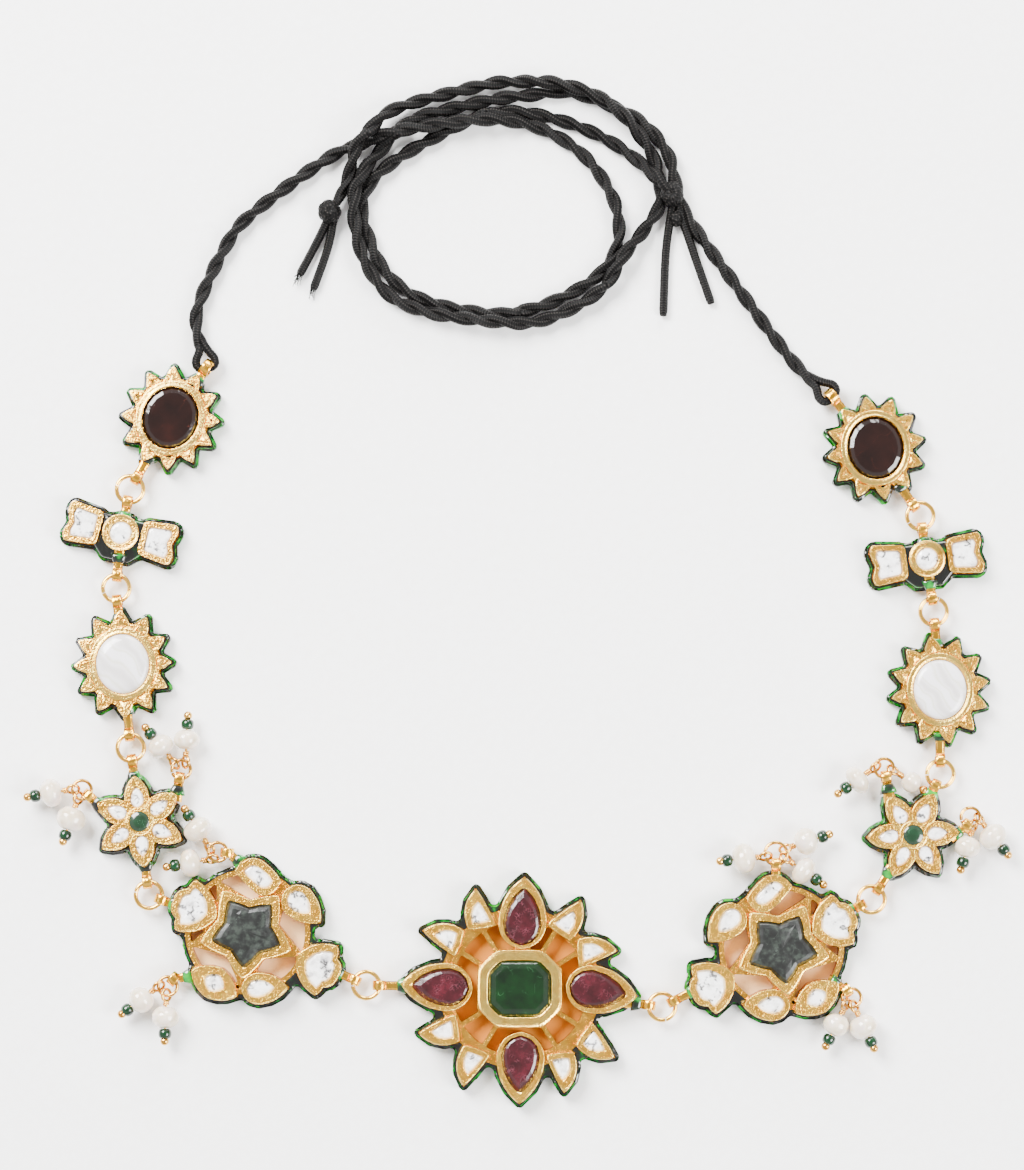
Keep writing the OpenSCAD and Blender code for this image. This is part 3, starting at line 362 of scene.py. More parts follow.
def wing_cells(side):
    turn = BOW_TURN[side]
    return [(WING, 6.4, 7.4, turn + 180 * k, 6.9, turn + 180 * k, PETAL_WALL) for k in (0, 1)]


def star_points(side, share, steps=6):
    """The star's outline, from its outer edge at share 0 to its stone at share 1."""
    tip = STAR_TIP - share * STAR_TIP_WALL
    notch = STAR_NOTCH - share * STAR_NOTCH_WALL
    corners = [place(STAR_ANGLE[side] + 36 * k, notch if k % 2 else tip) + (0.04,) for k in range(10)]
    return rounded_sides(corners, steps)


def octagon_points(inset, steps=3):
    x, y, c = OCTAGON[0] / 2 - inset, OCTAGON[1] / 2 - inset, OCTAGON[2] - inset * 0.59
    corners = ((x, y - c), (x - c, y), (c - x, y), (-x, y - c), (-x, c - y), (c - x, -y), (x - c, -y), (x, c - y))
    return rounded_sides([(px, py, 0) for px, py in corners], steps)


def ellipse_points(long, short, axis, count=48):
    return [
        turned((long * math.cos(2 * math.pi * k / count), short * math.sin(2 * math.pi * k / count)), axis)
        for k in range(count)
    ]


def ellipse_radius(long, short, angle):
    a = math.radians(angle)
    return long * short / math.hypot(short * math.cos(a), long * math.sin(a))


# Outlines as functions of the inset, for bezels and stones


def cell_outline(cell, at=(0, 0), steps=8):
    return lambda inset: moved(cell_points(cell, inset, steps), at)


def star_outline(side, steps=6):
    return lambda inset: moved(star_points(side, inset / STAR_NOTCH_WALL, steps), STARS[side])


def oval_outline(long, short, axis, at, count=48):
    return lambda inset: moved(ellipse_points(long - inset, short - inset, axis, count), at)


# Modelling helpers


def deselect():
    if bpy.context.object and bpy.context.object.mode != "OBJECT":
        bpy.ops.object.mode_set(mode="OBJECT")
    bpy.ops.object.select_all(action="DESELECT")


def only(piece):
    deselect()
    piece.select_set(True)
    bpy.context.view_layer.objects.active = piece


def edit(piece):
    """Opens a piece for editing with everything selected."""
    only(piece)
    bpy.ops.object.mode_set(mode="EDIT")
    bpy.ops.mesh.select_all(action="SELECT")


def at_height(points, z):
    return [Vector((x * MM, y * MM, z * MM)) for x, y in points]


def loft(name, rings, closed=False):
    """Extrudes a circle through rings of points in metres; closed joins the last ring to the first."""
    deselect()
    bpy.ops.mesh.primitive_circle_add(vertices=len(rings[0]), radius=MM, fill_type="NOTHING" if closed else "NGON")
    piece = bpy.context.object
    piece.name = name
    for vertex, point in zip(piece.data.vertices, rings[0]):
        vertex.co = point
    bpy.ops.object.mode_set(mode="EDIT")
    bpy.ops.mesh.select_mode(type="EDGE")
    bpy.ops.mesh.select_all(action="SELECT")
    mesh = bmesh.from_edit_mesh(piece.data)
    mesh.verts.ensure_lookup_table()
    for face in mesh.faces:
        face.select_set(False)
    for edge in mesh.edges:
        edge.select_set(True)
    last = [mesh.verts[k] for k in range(len(rings[0]))]
    for ring in rings[1:]:
        bpy.ops.mesh.extrude_edges_indiv()
        mesh = bmesh.from_edit_mesh(piece.data)
        new = [next(e.other_vert(v) for e in v.link_edges if e.other_vert(v).select) for v in last]
        for vertex, point in zip(new, ring):
            vertex.co = point
        last = new
    if closed:
        bpy.ops.mesh.select_all(action="SELECT")
        bpy.ops.mesh.remove_doubles(threshold=1e-7)
    else:
        bpy.ops.mesh.edge_face_add()
        bpy.ops.mesh.select_all(action="SELECT")
    bpy.ops.mesh.normals_make_consistent(inside=False)
    bpy.ops.object.mode_set(mode="OBJECT")
    return piece


def closed_loft(name, rings):
    return loft(name, list(rings) + [rings[0]], closed=True)


def wobble(piece, amount, seed):
    """Moves every point a little, as hand work does."""
    edit(piece)
    bpy.ops.transform.vertex_random(offset=amount * MM, uniform=0, normal=0, seed=seed)
    bpy.ops.object.mode_set(mode="OBJECT")


def modify(piece, kind, **settings):
    only(piece)
    modifier = piece.modifiers.new(kind.title(), kind)
    for key, value in settings.items():
        setattr(modifier, key, value)
    bpy.ops.object.modifier_apply(modifier=modifier.name)


def smooth(piece, angle=None):
    only(piece)
    if angle is None:
        bpy.ops.object.shade_smooth()
    else:
        bpy.ops.object.shade_smooth_by_angle(angle=math.radians(angle))


def joined(name, parts):
    deselect()
    for part in parts:
        part.select_set(True)
    bpy.context.view_layer.objects.active = parts[0]
    if len(parts) > 1:
        bpy.ops.object.join()
    parts[0].name = name
    parts[0].data.name = name
    return parts[0]


def finished(piece, material, slot, *nodes):
    """Gives a piece its material, lets it ride on the frame, and hides the nodes it stands for; the slot is not
    used.
    """
    piece.data.materials.clear()
    piece.data.materials.append(material)
    if nodes:
        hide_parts(*nodes)
    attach(piece, "root")
    return piece


def dressed(node, material):
    """Gives a node of the frame its material."""
    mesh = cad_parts[node].data
    mesh.materials.clear()
    mesh.materials.append(material)


def node_copy(name, *nodes, bevel):
    """A copy of frame nodes, welded and with its edges rounded."""
    parts = []
    for node in nodes:
        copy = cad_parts[node].copy()
        copy.data = copy.data.copy()
        copy.parent = None
        for key in list(copy.keys()):
            del copy[key]
        bpy.context.collection.objects.link(copy)
        copy.hide_render = False
        copy.hide_viewport = False
        parts.append(copy)
    piece = joined(name, parts)
    edit(piece)
    bpy.ops.mesh.remove_doubles(threshold=2e-6)
    bpy.ops.mesh.dissolve_limited(angle_limit=math.radians(1))
    bpy.ops.object.mode_set(mode="OBJECT")
    modify(piece, "BEVEL", width=bevel * MM, segments=2, limit_method="ANGLE", angle_limit=math.radians(40))
    smooth(piece, 35)
    return piece


def bezel(name, outline, wall, crest, foot, seed):
    """A hand-burnished wall of gold: a broad crest, rounded outside, sloping in over the stone's edge."""
    section = (
        (-0.02, foot), (-0.05, crest - 0.9), (-0.05, crest - 0.25), (-0.01, crest - 0.03), (0.1, crest + 0.03),
        (0.2, crest - 0.01), (0.28, crest - 0.12), (wall * 0.65, crest - 0.13), (wall - 0.08, crest - 0.1),
        (wall + 0.03, crest - 0.15), (wall + 0.12, crest - 0.42), (wall + 0.22, crest - 0.8), (wall * 0.5, foot),
    )
    piece = closed_loft(name, [at_height(outline(inset), z) for inset, z in section])
    wobble(piece, 0.045, seed)
    modify(piece, "SUBSURF", levels=1, render_levels=1)
    smooth(piece)
    return piece


def seat(top):
    """The heights at which a station's walls end below its crest, and its stones' undersides."""
    return top - POCKET - WALL_SINK, top - POCKET + SEAT


def cut_stone(name, outline, cut, wall, top, seed):
    """A stone with a table and facets inside its wall, the table broken up a little."""
    rows, jitter, table_inset = cut
    levels = [(wall + rows[0][0], seat(top)[1])] + [(wall + inset, top + rise) for inset, rise in rows]
    piece = loft(name, [at_height(outline(inset), z) for inset, z in levels])
    table = levels[-1][1] * MM
    bpy.ops.object.mode_set(mode="EDIT")
    bpy.ops.mesh.select_mode(type="FACE")
    bpy.ops.mesh.select_all(action="DESELECT")
    mesh = bmesh.from_edit_mesh(piece.data)
    for face in mesh.faces:
        face.select_set(abs(face.calc_center_median().z - table) < 1e-6 and face.normal.z > 0.9)
    bmesh.update_edit_mesh(piece.data)
    bpy.ops.mesh.inset(thickness=table_inset * MM, depth=0.03 * MM)
    bpy.ops.mesh.poke()
    bpy.ops.transform.vertex_random(offset=jitter * MM, uniform=0, normal=0, seed=seed)
    bpy.ops.object.mode_set(mode="OBJECT")
    only(piece)
    bpy.ops.object.shade_flat()
    return piece


def set_stones(kind, cells, at, top, seed, cut, steps=8, stone_steps=3, thinner=0):
    """Pressed walls and cut stones for a station's cells of one kind."""
    walls, stones = [], []
    for k, cell in enumerate(cells):
        wall = cell[-1]
        outline = cell_outline(cell, at, steps)
        walls.append(bezel(kind + "_wall", outline, wall - thinner, top, seat(top)[0], seed + k))
        stones.append(cut_stone(kind, cell_outline(cell, at, stone_steps), cut, wall, top, k))
    return walls, stones


# Tubes for the cord and the wires


def through(points, spacing):
    """Evenly spaced points on a smooth curve through the given ones, all in millimetres."""
    points = [Vector(p) for p in points]
    padded = [points[0] * 2 - points[1]] + points + [points[-1] * 2 - points[-2]]
    fine = []
    for a, b, c, d in zip(padded, padded[1:], padded[2:], padded[3:]):
        for i in range(12):
            t = i / 12
            fine.append(
                0.5 * (2 * b + (c - a) * t + (2 * a - 5 * b + 4 * c - d) * t * t + (3 * b - a - 3 * c + d) * t**3)
            )
    fine.append(points[-1])
    lengths = [0]
    for a, b in zip(fine, fine[1:]):
        lengths.append(lengths[-1] + (b - a).length)
    count = max(2, round(lengths[-1] / spacing))
    even, k = [], 0
    for i in range(count + 1):
        target = lengths[-1] * i / count
        while k < len(lengths) - 2 and lengths[k + 1] < target:
            k += 1
        even.append(fine[k].lerp(fine[k + 1], (target - lengths[k]) / max(1e-9, lengths[k + 1] - lengths[k])))
    return even


def headings(path):
    return [(path[min(i + 1, len(path) - 1)] - path[max(i - 1, 0)]).normalized() for i in range(len(path))]


def frames(path):
    """Two directions across the path at each of its points, carried along without twist."""
    across = None
    result = []
    for heading in headings(path):
        if across is None:
            across = heading.cross(Vector((0, 0, 1))).normalized()
        across = (across - heading * across.dot(heading)).normalized()
        result.append((across, heading.cross(across)))
    return result


def tube(name, path, radius, sides=10, taper=None):
    """A closed tube along a path in millimetres, with its length and the angle round it as attributes."""
    vertices, along, around = [], [], []
    travelled = 0
    for i, (point, (across, above)) in enumerate(zip(path, frames(path))):
        travelled += (point - path[i - 1]).length if i else 0
        r = radius * (taper(i / (len(path) - 1)) if taper else 1)
        for k in range(sides):
            a = 2 * math.pi * k / sides
            vertices.append((point + r * (math.cos(a) * across + math.sin(a) * above)) * MM)
            along.append(travelled)
            around.append((math.cos(a), math.sin(a), 0))
    last = (len(path) - 1) * sides
    faces = [
        (i * sides + k, i * sides + (k + 1) % sides, (i + 1) * sides + (k + 1) % sides, (i + 1) * sides + k)
        for i in range(len(path) - 1)
        for k in range(sides)
    ]
    faces.append(tuple(range(sides))[::-1])
    faces.append(tuple(range(last, last + sides)))
    mesh = bpy.data.meshes.new(name)
    mesh.from_pydata(vertices, [], faces)
    mesh.attributes.new("along", "FLOAT", "POINT").data.foreach_set("value", along)
    flat = [c for vector in around for c in vector]
    mesh.attributes.new("around", "FLOAT_VECTOR", "POINT").data.foreach_set("vector", flat)
    piece = bpy.data.objects.new(name, mesh)
    bpy.context.collection.objects.link(piece)
    edit(piece)
    bpy.ops.mesh.normals_make_consistent(inside=False)
    bpy.ops.object.mode_set(mode="OBJECT")
    smooth(piece, 60)
    return piece


# Materials


def add(tree, kind, links=None, **settings):
    """Adds a node, gives it settings and socket values, and links other nodes' outputs to its inputs."""
    node = tree.nodes.new("ShaderNode" + kind)
    for key, value in settings.items():
        if hasattr(node, key):
            setattr(node, key, value)
        else:
            node.inputs[key.replace("_", " ")].default_value = value
    for name, output in (links or {}).items():
        tree.links.new(output, node.inputs[name])
    return node


def ramp(tree, factor, *stops):
    """A colour ramp from positions and hex colours."""
    node = add(tree, "ValToRGB", {"Fac": factor})
    elements = node.color_ramp.elements
    while len(elements) < len(stops):
        elements.new(0.5)
    for element, (position, code) in zip(elements, stops):
        element.position = position
        element.color = linear(code)
    return node.outputs["Color"]


def new_material(name, **principled):
    material = bpy.data.materials.new(name)
    material.use_nodes = True
    tree = material.node_tree
    shader = tree.nodes["Principled BSDF"]
    for key, value in principled.items():
        shader.inputs[key.replace("_", " ")].default_value = value
    spot = tree.nodes.new("ShaderNodeTexCoord").outputs["Object"]
    return material, tree, shader, spot


def per_mm(millimetres):
    """The scale at which a pattern on coordinates in metres repeats at about that size."""
    return 1 / (millimetres * MM)


def noise(tree, spot, size, detail, **settings):
    """Clouds of about the given size in millimetres, from 0 to 1."""
    return add(tree, "TexNoise", {"Vector": spot}, Scale=per_mm(size), Detail=detail, **settings).outputs["Fac"]


def times(tree, value, factor, plus=None):
    """A value times a constant, plus another output."""
    node = add(tree, "Math", {0: value}, operation="MULTIPLY_ADD" if plus else "MULTIPLY")
    node.inputs[1].default_value = factor
    if plus:
        tree.links.new(plus, node.inputs[2])
    return node.outputs["Value"]


def coloured(tree, shader, colour):
    tree.links.new(colour, shader.inputs["Base Color"])


def relief(tree, shader, height, strength, depth):
    """Bumps of the given depth in millimetres."""
    bump = add(tree, "Bump", {"Height": height}, Strength=strength, Distance=depth * MM)
    tree.links.new(bump.outputs["Normal"], shader.inputs["Normal"])


def gold(name, top, painted_shade, grain, grain_size, roughness, low, high):
    """Gold-plated brass: paler on the crests, with painted shade, a deep orange, down in the work, for the shade
    there and the light that gold throws on gold.
    """
    material, tree, shader, spot = new_material(name, Metallic=1, Roughness=roughness)
    tone = ramp(tree, noise(tree, spot, 2.2, 3), (0.3, top[0]), (0.68, top[1]))
    # Painted shade: below the given heights the colour fades into the darker orange
    height = add(tree, "SeparateXYZ", {"Vector": spot}).outputs["Z"]
    share = add(tree, "MapRange", {"Value": height}, From_Min=low * MM, From_Max=high * MM)
    colour = add(tree, "MixRGB", {"Fac": share.outputs["Result"], "Color2": tone}, Color1=linear(painted_shade))
    coloured(tree, shader, colour.outputs["Color"])
    punch = add(tree, "TexVoronoi", {"Vector": spot}, Scale=per_mm(grain_size))
    hammer = noise(tree, spot, 0.7, 3)
    marks = add(tree, "Math", {0: punch.outputs["Distance"], 1: hammer}, operation="ADD")
    relief(tree, shader, marks.outputs["Value"], grain, 0.12)
    wear = add(tree, "MapRange", {"Value": hammer}, To_Min=roughness - 0.07, To_Max=roughness + 0.1)
    tree.links.new(wear.outputs["Result"], shader.inputs["Roughness"])
    return material


def burnished_gold():
    # Pure gold pressed round the stones with a steel burnisher leaves small flats and punch marks
    # Painted shade: below 3.55 mm the colour darkens to orange, so sunken ray fields and low walls look shaded
    return gold("burnished_gold", ("#FFDA70", "#F8C452"), "#B07024", 0.4, 0.3, 0.2, 2.5, 3.55)


def plated_brass():
    # Cast brass under gold plate, bright on top, with painted shade, a deep orange, inside the pierced work, for
    # the shade there and the light gold throws on gold
    return gold("plated_brass", ("#FFCC50", "#ECAA34"), "#AC6418", 0.6, 0.35, 0.22, 1.2, 3.8)


def pale_wire():
    # Drawn and plated wire, paler than the cast work, with fine drawing lines
    return gold("drawn_pale_gold", ("#FFD064", "#EEB44C"), "#C89020", 0.1, 0.3, 0.16, 0, 1)


def bail_gold():
    # Bails bent from plated strip, a deeper yellow than the rings
    return gold("plated_strip", ("#FFC84A", "#F0AE30"), "#B07420", 0.2, 0.4, 0.16, 0, 1.2)


def copper_wire():
    # Soft copper wire with thin gold plate, warmer than the jump rings
    return gold("plated_copper_wire", ("#EEBC60", "#C08A3C"), "#8C6024", 0.1, 0.3, 0.16, 0, 1)


def enamel_glaze():
    # Green vitreous enamel, black on its flat tops and bright green on steep flanks: partly thin glaze over the
    # metal's edge, partly a painted glint where the flanks catch the light
    material, tree, shader, spot = new_material(
        "vitreous_enamel", Roughness=0.1, Coat_Weight=0.8, Coat_Roughness=0.04
    )
    clouds = noise(tree, spot, 2.6, 3)
    # Bright green on steep flanks: partly thin glaze, partly painted glint
    flank = add(tree, "Attribute", attribute_name="thin_and_glint").outputs["Fac"]
    thin_and_glint = times(tree, flank, 0.34, plus=clouds)
    stops = ((0.58, "#070907"), (0.68, "#06240C"), (0.78, "#037A22"), (0.95, "#2FA01A"))
    coloured(tree, shader, ramp(tree, thin_and_glint, *stops))
    relief(tree, shader, noise(tree, spot, 1.1, 1), 0.5, 0.25)
    return material


def stone_material(
    name, tones, fleck, fleck_size, fleck_width, cloud_size, roughness, patch=(0.5, 0.68), **principled
):
    """A natural stone: clouds of its tones with veils and inclusions drawn as thin cell edges."""
    material, tree, shader, spot = new_material(name, Roughness=roughness, **principled)
    colour = ramp(tree, noise(tree, spot, cloud_size, 4, Roughness=0.6), *tones)
    warp = add(tree, "TexNoise", {"Vector": spot}, Scale=per_mm(1.2), Detail=2)
    shifted = add(tree, "VectorMath", {0: warp.outputs["Color"]}, operation="SCALE", Scale=1.4 * MM)
    bent = add(tree, "VectorMath", {0: spot, 1: shifted.outputs["Vector"]}, operation="ADD").outputs["Vector"]
    cells = add(tree, "TexVoronoi", {"Vector": bent}, feature="DISTANCE_TO_EDGE", Scale=per_mm(fleck_size))
    vein = add(tree, "MapRange", {"Value": cells.outputs["Distance"]}, From_Max=fleck_width, To_Min=1, To_Max=0)
    patches = noise(tree, spot, 1.7, 2)
    some = add(tree, "MapRange", {"Value": patches}, From_Min=patch[0], From_Max=patch[1])
    both = {0: vein.outputs["Result"], 1: some.outputs["Result"]}
    share = add(tree, "Math", both, operation="MULTIPLY", use_clamp=True)
    mixed = add(tree, "MixRGB", {"Fac": share.outputs["Value"], "Color1": colour}, Color2=linear(fleck))
    coloured(tree, shader, mixed.outputs["Color"])
    relief(tree, shader, warp.outputs["Fac"], 0.25, 0.15)
    return material


def ruby_stone():
    # Dyed opaque corundum, ground by hand: mauve red with scratches and light chips
    tones = ((0.3, "#1E0508"), (0.55, "#320A11"), (0.75, "#48121D"))
    return stone_material("hand_cut_ruby", tones, "#5E2E38", 0.55, 0.1, 2.5, 0.2, Coat_Weight=0.25)


def emerald_stone():
    # Dyed beryl, polished: deep green with veils near its edge
    tones = ((0.3, "#021004"), (0.6, "#052209"), (0.8, "#0B3412"))
    return stone_material("polished_emerald", tones, "#2C5234", 3.2, 0.012, 4, 0.1, Coat_Weight=0.3)


def star_stone():
    # Dyed quartz, grey green and cloudy
    tones = ((0.38, "#060706"), (0.5, "#0F1210"), (0.64, "#252B26"))
    return stone_material("cloudy_quartz", tones, "#3A423C", 1.6, 0.02, 1.3, 0.35)


def polki_stone():
    # Uncut crystal on silver foil: near white, with dark flecks where the foil shows
    tones = ((0.3, "#B4B2B4"), (0.42, "#E6E5E3"), (0.55, "#FFFFFF"))
    return stone_material("crystal_on_foil", tones, "#17141A", 1.5, 0.2, 1.6, 0.05, (0.55, 0.6), Coat_Weight=1)


def flower_stone():
    # Opaque green glass with a soft polish
    tones = ((0.3, "#08200F"), (0.6, "#0E2C18"), (0.8, "#1A4028"))
    return stone_material("green_glass", tones, "#4F7A60", 0.9, 0.02, 1.4, 0.15, Coat_Weight=0.6)


def garnet_stone():
    # Dark red glass, almost brown where it is thick
    tones = ((0.3, "#0D0302"), (0.6, "#160604"), (0.8, "#200A06"))
    return stone_material("dark_garnet", tones, "#3A1A12", 4, 0.008, 5, 0.08, Coat_Weight=0.2)


def shell_stone():
    # Mother-of-pearl: white with faint wavy bands that turn a little pink and green
    material, tree, shader, spot = new_material("mother_of_pearl", Roughness=0.22, Coat_Weight=0.6)
    bands = add(
        tree, "TexWave", {"Vector": spot}, Scale=per_mm(9), Distortion=6, Detail=2, bands_direction="DIAGONAL"
    ).outputs["Fac"]
    colour = ramp(tree, bands, (0.0, "#C9C4C2"), (0.35, "#DCD8D8"), (0.6, "#D2CFC4"), (0.85, "#E6E3E6"))
    coloured(tree, shader, colour)
    return material


def pearl_skin():
    # Freshwater pearl: cream nacre grown in shallow rings
    material, tree, shader, spot = new_material(
        "freshwater_pearl", Roughness=0.14, Coat_Weight=1, Coat_Roughness=0.05, Subsurface_Weight=0.1,
        Subsurface_Scale=1 * MM,
    )
    clouds = noise(tree, spot, 2.5, 2)
    coloured(tree, shader, ramp(tree, clouds, (0.35, "#D4C2A4"), (0.55, "#EADCC8"), (0.75, "#DCCCC6")))
    relief(tree, shader, noise(tree, spot, 0.8, 2), 0.25, 0.1)
    return material


def bead_glass():
    # Pressed green glass beads, deep and glossy
    material, tree, shader, spot = new_material("bottle_green_glass", Roughness=0.1, Coat_Weight=0.2)
    coloured(tree, shader, ramp(tree, noise(tree, spot, 1.2, 1), (0.35, "#011A0A"), (0.65, "#023014")))
    return material


def black_braid():
    # Round cord braided from black rayon; the plaits are drawn coarse, one every 0.9 mm, so that they show, with a
    # painted sheen of lighter grey on their crests
    material, tree, shader, _ = new_material("braided_black_cord", Roughness=0.55, Specular_IOR_Level=0.12)
    along = add(tree, "Attribute", attribute_name="along").outputs["Fac"]
    around = add(tree, "Attribute", attribute_name="around").outputs["Vector"]
    parts = add(tree, "SeparateXYZ", {"Vector": around})
    angle = add(tree, "Math", {0: parts.outputs["Y"], 1: parts.outputs["X"]}, operation="ARCTAN2").outputs["Value"]
    plaits = []
    for turn in (1, -1):
        phase = times(tree, along, 2 * math.pi / 0.9, plus=times(tree, angle, 3 * turn))
        plaits.append(add(tree, "Math", {0: phase}, operation="SINE").outputs["Value"])
    weave = add(tree, "Math", {0: plaits[0], 1: plaits[1]}, operation="MULTIPLY")
    share = add(tree, "MapRange", {"Value": weave.outputs["Value"]}, From_Min=-1, From_Max=1).outputs["Result"]
    # Painted sheen: the plaits' crests are painted lighter grey, a painted highlight on the black rayon
    coloured(tree, shader, ramp(tree, share, (0.2, "#020202"), (0.7, "#060505"), (0.97, "#2B2826")))
    relief(tree, shader, share, 0.9, 0.18)
    return material


def pale_paper():
    # Matt white paper; gold throws its orange on it inside the pierced stations
    material, tree, shader, spot = new_material("matt_paper", Roughness=0.9)
    colour = ramp(tree, noise(tree, spot, 1.5, 2), (0.3, "#FBFAF9"), (0.7, "#FFFFFF"))
    for middle, radius, glow in (((0, 0), 14, "#CC8420"), (STARS[0], 11.5, "#FFD8A0"), (STARS[1], 11.5, "#FFD8A0")):
        away = add(tree, "VectorMath", {0: spot}, operation="DISTANCE")
        away.inputs[1].default_value = (middle[0] * MM, middle[1] * MM, 0)
        near = add(
            tree, "MapRange", {"Value": away.outputs["Value"]}, From_Min=(radius - 0.5) * MM, From_Max=radius * MM,
            To_Min=1, To_Max=0,
        ).outputs["Result"]
        colour = add(tree, "MixRGB", {"Fac": near, "Color1": colour}, Color2=linear(glow)).outputs["Color"]
    coloured(tree, shader, colour)
    return material


MATERIALS = {}


def finish_of(maker):
    """The material that a function makes, made once."""
    if maker.__name__ not in MATERIALS:
        MATERIALS[maker.__name__] = maker()
    return MATERIALS[maker.__name__]


# Groups of pieces


def bail(name, eye, faces, length, level, towards, root, outer=1.25, hole=0.78):
    """A strap with a rounded loop at its end, and green enamel at its root; all in millimetres."""
    half, thick = 0.84, (outer - hole) / 2 + 0.03
    middle = (outer + hole) / 2
    corners = [(1, 0.55), (0.8, 0.92), (0.4, 1), (-0.4, 1), (-0.8, 0.92), (-1, 0.55)]
    corners += [(x, -y) for x, y in corners[::-1]]
    rings = []
    for k in range(24):
        a = math.radians(15 * k)
        ring = []
        for x, y in corners:
            reach = middle + y * thick
            p = turned((reach * math.cos(a), x * half), towards)
            ring.append(Vector(((eye[0] + p[0]) * MM, (eye[1] + p[1]) * MM, (level + reach * math.sin(a)) * MM)))
        rings.append(ring)
    loop = closed_loft(name + "_loop", rings)
    sections = ((-length - 0.3, 1.1, 0.6), (-root, 0.9, 0.56), (-(root + 0.95) / 2, 0.78, 0.54), (-0.95, 0.8, 0.52))
    strap = loft(name + "_strap", [strap_ring(eye, faces, level, corners, s) for s in sections])
    for part in (loop, strap):
        wobble(part, 0.03, len(name))
        smooth(part, 50)
    sections = (
        (-root - 1.2, 1.5, 0.8), (-root - 0.5, 1.3, 0.8), (-root, 1.12, 0.74), (-root + 0.35, 0.98, 0.64),
        (-root + 0.5, 0.86, 0.54),
    )
    collar = loft(name + "_collar", [strap_ring(eye, faces, level, corners, s) for s in sections])
    wobble(collar, 0.08, len(name))
    smooth(collar)
    mark_thin_and_glint(collar, 0.6)
    return joined(name, [loop, strap]), collar


def strap_ring(eye, faces, level, corners, section):
    out, half, thick = section
    ring = []
    for x, y in corners:
        p = turned((out, x * half), faces)
        ring.append(Vector(((eye[0] + p[0]) * MM, (eye[1] + p[1]) * MM, (level + y * thick) * MM)))
    return ring


def link_bail(name, middle, ring, start, edge):
    angle = bearing(middle, ring)
    reach = math.dist(middle, ring) - LINK_RADIUS
    return bail(name, place(angle, reach, middle), angle, reach - start, LINK_HEIGHT, angle, reach - edge)


def pearl_bail(name, row, drops, root):
    eye, faces, length, holds = row
    return bail(name, eye, faces, length, DROP_HEIGHT, bearing(eye, drops[holds][0]), root)


def chain_bails(kind, side, at, *rows):
    """A station's bails for the chain: the link that each holds, where its strap starts and its root ends."""
    return [
        link_bail(f"{kind}_bail_{SIDES[side]}_{letter}", at, LINKS[side][link], start, edge)
        for letter, (link, start, edge) in zip("ab", rows)
    ]


def pearl_bails(kind, side, rows, drops, root):
    return [pearl_bail(f"{kind}_pearl_bail_{SIDES[side]}_{k}", row, drops, root) for k, row in enumerate(rows)]


def stations(kind, middles):
    """Both stations of a kind, left and right: side, its name and the station's middle, its frame plated."""
    for side, name in enumerate(SIDES):
        dressed(f"{kind}_frame_{name}", finish_of(plated_brass))
        yield side, name, middles[side]


def finish_walls(name, walls):
    finished(joined(name, walls), finish_of(burnished_gold), "gold")


def finish_polki(name, stones, node):
    finished(joined(name, stones), finish_of(polki_stone), "polki", node)


def finish_bails(name, bails):
    finished(joined(name + "_bails", [b[0] for b in bails]), finish_of(bail_gold), "gold")
    finished(joined(name + "_bail_enamel", [b[1] for b in bails]), finish_of(enamel_glaze), "enamel")


def mark_thin_and_glint(piece, share=None):
    """Notes at each point how bright green the glaze is painted: most on steep flanks, for thin glaze and a painted
    glint there, least on top.
    """
    values = [min(1, max(0, 1.25 - abs(v.normal.z) * 1.3)) if share is None else share for v in piece.data.vertices]
    piece.data.attributes.new("thin_and_glint", "FLOAT", "POINT").data.foreach_set("value", values)


def station_enamel(station, *nodes):
    """The enamel round a station, and the pool of glaze that spreads from its foot."""
    band = node_copy(station + "_glaze", *nodes, bevel=0.12)
    pool = band.copy()
    pool.data = band.data.copy()
    bpy.context.collection.objects.link(pool)
    modify(pool, "TRIANGULATE")
    for vertex in pool.data.vertices:
        out = Vector((vertex.normal.x, vertex.normal.y, 0))
        if out.length > 0.3:
            vertex.co += out.normalized() * 0.45 * MM
        vertex.co.z *= 0.82
    smooth(pool, 60)
    mark_thin_and_glint(band)
    mark_thin_and_glint(pool)
    finished(joined(station + "_glaze", [band, pool]), finish_of(enamel_glaze), "enamel", *nodes)


def torus(name, middle, radius, wire, level, gap=0, gap_at=0, sides=14, steps=56):
    """A ring of round wire lying flat; a gap in degrees leaves its two cut ends apart."""
    rings = []
    count = steps + (1 if gap else 0)
    for k in range(count):
        a = gap_at + gap / 2 + (360 - gap) * k / steps
        ring = []
        for j in range(sides):
            t = 2 * math.pi * j / sides
            x, y = place(a, radius + wire / 2 * math.cos(t), middle)
            ring.append(Vector((x * MM, y * MM, (level + wire / 2 * math.sin(t)) * MM)))
        rings.append(ring)
    piece = loft(name, rings) if gap else closed_loft(name, rings)
    smooth(piece, 60)
    return piece


def loop_place(drop):
    return place(drop[2], drop[1] - 0.1, drop[0])


def drop_matrix(drop):
    """Places a drop modelled along +X from its loop's middle, in metres."""
    x, y = loop_place(drop)
    slope = math.asin(max(0, drop[4] / 2 + 0.06 - DROP_HEIGHT) / PEARL_REACH)
    turn = Matrix.Rotation(math.radians(drop[3]), 4, "Z") @ Matrix.Rotation(-slope, 4, "Y")
    return Matrix.Translation(Vector((x, y, DROP_HEIGHT)) * MM) @ turn


def sphere(name, radius, segments, rings):
    """A ball whose poles lie along X, at the zero point, in millimetres."""
    deselect()
    bpy.ops.mesh.primitive_uv_sphere_add(segments=segments, ring_count=rings, radius=radius * MM)
    piece = bpy.context.object
    piece.name = name
    piece.data.transform(Matrix.Rotation(math.radians(90), 4, "Y"))
    return piece


